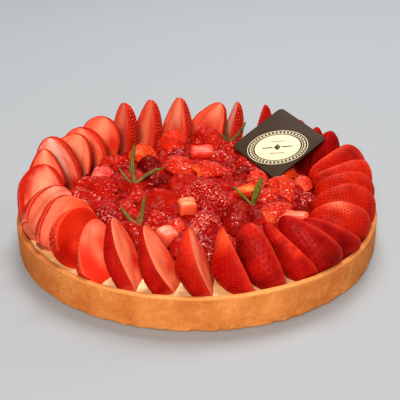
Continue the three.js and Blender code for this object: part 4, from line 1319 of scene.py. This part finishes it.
# Each tip: its foot, its colour, and its leaves, with how far each reaches and bows out, and its width.
rosemary_tips = [
    ((-41, -5), (0.12, 0.105, 0.018), [
        ((0, 12, 25), (-3, 0, 0), 3.2),
        ((21, 8, 9), (-2, 0, 4), 2.6),
        ((-11, 6, 11), (-2, 0, -2), 2),
        ((-4, 6, 13), (-1, 0, 0), 1.6),
    ]),
    ((-34, -62), (0.12, 0.1, 0.02), [
        ((-12, 7, 11), (-2, 0, -2), 2.6),
        ((3, 8, 17), (0, 0, 0), 2.8),
    ]),
    ((35, -38), (0.085, 0.14, 0.01), [
        ((-13, 7, 11), (0, 0, 1), 1.8),
        ((6.5, 6, 17), (-1, 0, 0), 4.4),
    ]),
    ((23, 58), (0.1, 0.09, 0.035), [
        ((-1, 4, 17), (-1, 0, 0), 2.4),
        ((13, 4, 15), (2, 0, -2), 2.4),
        ((-6, 2, 7), (0, 0, 1), 1.6),
    ]),
]
new_leaf_count = 3
new_leaf_width = 1.2
leaf_rows = 22


def rosemary_leaf(foot, reach, bow, width):
    """One narrow leaf in millimetres: its points and faces, and each point's share of the way to its tip."""
    foot, tip = np.array(foot, float), np.array(foot, float) + reach
    middle = (foot + tip) / 2 + np.array(bow)
    share = np.linspace(0, 1, leaf_rows)[:, None]
    line = (1 - share) ** 2 * foot + 2 * share * (1 - share) * middle + share**2 * tip
    ahead = unit(np.gradient(line, axis=0))
    side = unit(np.cross(ahead, (0.15, -1, 0.35)))
    face = np.cross(side, ahead)
    along = share[:, 0]
    fullness = np.interp(along, [0, 0.12, 0.35, 0.75, 0.93, 1], [0.5, 0.75, 1, 0.85, 0.45, 0.08])
    half = 0.5 * width * fullness
    # across the leaf: a groove on the face side, edges curled down, a raised rib under it
    across = np.array([-1, -0.8, -0.4, -0.12, 0, 0.12, 0.4, 0.8, 1, 0.75, 0.3, 0, -0.3, -0.75])
    raised = np.array([-0.1, 0.2, 0.34, 0.26, 0.1, 0.26, 0.34, 0.2, -0.1, -0.18, 0, -0.26, 0, -0.18])
    points = line[:, None] + side[:, None] * (half[:, None] * across)[..., None]
    points = points + face[:, None] * (half[:, None] * raised)[..., None]
    count = len(across)
    ends = np.array([foot - 0.2 * ahead[0], tip + 0.25 * ahead[-1]])
    faces = capped_faces(leaf_rows, count)
    shares = np.concatenate([np.repeat(along, count), [0, 1]])
    return np.concatenate([points.reshape(-1, 3), ends]), faces, shares


leaf_finish = finish_of("rosemary_leaf", (0.1, 0.19, 0.05), 0.45, Subsurface_Weight=0.1,
                        Subsurface_Scale=1 * mm, Specular_IOR_Level=0.2, Coat_Weight=0.1, Coat_Roughness=0.25)
wires = Wiring(leaf_finish)
tipwards = wires.stored("tipwards")
blotches = wires.grain(wires.own_place(), 500, 2)
leaf_tint = wires.stored("tint", "Color")
leaf_tint = wires.mixed(wires.spread(blotches, 0.35, 0.65, 0, 0.45), leaf_tint, (0.36, 0.25, 0.07))
leaf_tint = wires.mixed(wires.spread(tipwards, 0, 0.35, 0.5, 0), leaf_tint, (0.4, 0.2, 0.08))
leaf_tint = wires.mixed(wires.spread(tipwards, 0.9, 1, 0, 0.6), leaf_tint, (0.06, 0.05, 0.02))
wires.colour(leaf_tint)
new_leaves = repeatable(21)
for index, ((x, y), shade, leaves) in enumerate(rosemary_tips, 1):
    node = f"rosemary_{index:02d}"
    foot = np.array([x, y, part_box(node)[0].z / mm])
    sprig_leaves = [rosemary_leaf(foot, np.array(reach), bow, width) for reach, bow, width in leaves]
    for _ in range(new_leaf_count):
        turn, long = 2 * math.pi * next(new_leaves), 3.5 + 2.5 * next(new_leaves)
        reach = np.array([0.5 * long * math.cos(turn), 0.5 * long * math.sin(turn) + 1, long])
        sprig_leaves.append(rosemary_leaf(foot + (0, 0, 1), reach, (0.3, 0, 0), new_leaf_width))
    sprig_points, sprig_faces = joined([leaf[:2] for leaf in sprig_leaves])
    sprig = add_piece(f"rosemary_tip_{index}", sprig_points * mm, sprig_faces, [leaf_finish])
    set_values(sprig, "tipwards", np.concatenate([leaf[2] for leaf in sprig_leaves]))
    set_colours(sprig, "tint", np.tile(shade, (len(sprig_points), 1)))
    ride_tart(sprig, "rosemary", node)

# ---- The chocolate plaque ----------------------------------------------------------------------------------
# A thin square of dark chocolate with rounded corners, laid on the heap with one corner to the front. It
# bears a plain ivory oval in a thin line and a ring of dots, with four short lines and a diamond on the oval.

plaque_bevel = 0.35
print_height = 0.14
print_root = 0.05  # how deep a print starts in the chocolate
oval_middle = (-0.2, -5.0)


def plaque_outline(inset, steps=8):
    """The plaque's outline in its own axes, drawn in by the inset."""
    corner = plaque_corner - inset
    reach = plaque_side / 2 - plaque_corner
    spots = []
    for quarter in range(4):
        middle = quarter * 90 + 45
        turn = math.radians(quarter * 90)
        x, y = reach * (math.cos(turn) - math.sin(turn)), reach * (math.sin(turn) + math.cos(turn))
        spots += arc((x, y), corner, middle - 45, middle + 45, steps)
    # the square stands on its corner, so its outline turns by an eighth
    x, y = math.sqrt(0.5) * np.array(spots).T
    return np.stack([x - y, x + y], -1)


def stacked(outlines, heights):
    """A plate from closed outlines at heights from its underside to its top: points and faces."""
    count = len(outlines[0])
    rows = [np.column_stack([outline, np.full(count, height)]) for outline, height in zip(outlines, heights)]
    middle = outlines[0].mean(0)
    points = np.concatenate([*rows, [(*middle, heights[0]), (*middle, heights[-1])]])
    return points, capped_faces(len(rows), count)


def on_plaque(points):
    """From the plaque's own axes to the tart's, in metres."""
    return (points @ plaque_axes + plaque_middle) * mm


def oval(across, along, middle=(0, 0), count=96):
    """The outline of an oval in the plaque's own axes."""
    turn = np.linspace(0, 2 * math.pi, count, endpoint=False)
    return np.stack([middle[0] + across * np.cos(turn), middle[1] + along * np.sin(turn)], -1)


def printed(outlines):
    """Thin raised prints on the plaque from solid outlines: points and faces."""
    heights = [-print_root, 0.7 * print_height, print_height]
    plates = []
    for outline in outlines:
        middle = outline.mean(0)
        plates.append(stacked([outline, outline, 0.985 * (outline - middle) + middle], heights))
    return joined(plates)


def printed_ring(across, along, width, count=120):
    """A thin raised oval line on the plaque: points and faces."""
    half = width / 2
    loops = [(-half, -print_root), (half, -print_root), (half, print_height), (-half, print_height)]
    rows = [np.column_stack([oval(across + out, along + out, oval_middle, count), np.full(count, height)])
            for out, height in loops]
    points = np.concatenate(rows)
    faces = [tuple(face) for face in ring_faces(5, count) % (4 * count)]
    return points, faces


chocolate = finish_of("dark_chocolate", (0.062, 0.038, 0.024), 0.55, Specular_IOR_Level=0.2)
wires = Wiring(chocolate)
wires.bump(wires.grain(wires.own_place(), 300, 2), 0.1 * mm, 0.3)
plate_points, plate_faces = stacked(
    [plaque_outline(plaque_bevel), plaque_outline(0), plaque_outline(0), plaque_outline(plaque_bevel),
     plaque_outline(plaque_bevel + 0.4)],
    [-plaque_thickness, -plaque_thickness + plaque_bevel, -plaque_bevel, -0.05, 0],
)
plaque = add_piece("chocolate_plaque", on_plaque(plate_points), plate_faces, [chocolate])
ride_tart(plaque, "chocolate", "plaque")

ivory = finish_of("ivory_print", (0.66, 0.6, 0.44), 0.6, Specular_IOR_Level=0.1)
dark_print = finish_of("dark_print", (0.07, 0.045, 0.03), 0.5)
dot_count = 44
dot_radius = 0.8
dots = [oval(dot_radius, dot_radius, middle, 12) for middle in oval(19.4, 14.0, oval_middle, dot_count)]
ivory_points, ivory_faces = joined([
    printed([oval(16.4, 11.9, oval_middle)]),
    printed(dots),
    printed_ring(17.7, 12.8, 0.5),
    printed_ring(21.4, 15.4, 0.6),
])
ivory_print = add_piece("plaque_ivory_print", on_plaque(ivory_points), ivory_faces, [ivory])
ride_tart(ivory_print, "chocolate", "plaque")

x, y = oval_middle
strokes = [
    [(x - 11, y + 0.25), (x - 11, y - 0.25), (x - 3.5, y - 0.45), (x - 3.5, y + 0.45)],
    [(x + 3.5, y + 0.45), (x + 3.5, y - 0.45), (x + 11, y - 0.25), (x + 11, y + 0.25)],
    [(x - 2.4, y), (x, y - 2.8), (x + 2.4, y), (x, y + 2.8)],
    [(x - 5, y - 5.3), (x - 5, y - 5.6), (x + 5, y - 5.6), (x + 5, y - 5.3)],
    [(x - 5, y + 5.6), (x - 5, y + 5.3), (x + 5, y + 5.3), (x + 5, y + 5.6)],
]
stroke_points, stroke_faces = printed([np.array(stroke) for stroke in strokes])
stroke_points[:, 2] += print_height - 0.02
dark_motif = add_piece("plaque_dark_print", on_plaque(stroke_points), stroke_faces, [dark_print])
ride_tart(dark_motif, "chocolate", "plaque")

# ---- Sizes -------------------------------------------------------------------------------------------------
# The box of the solids, taken before any piece was made, and the box of this scene's own pieces, kept side
# by side in metres.

size = {"cad": [list(corner) for corner in cad_box], "visual": [list(corner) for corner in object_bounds()]}
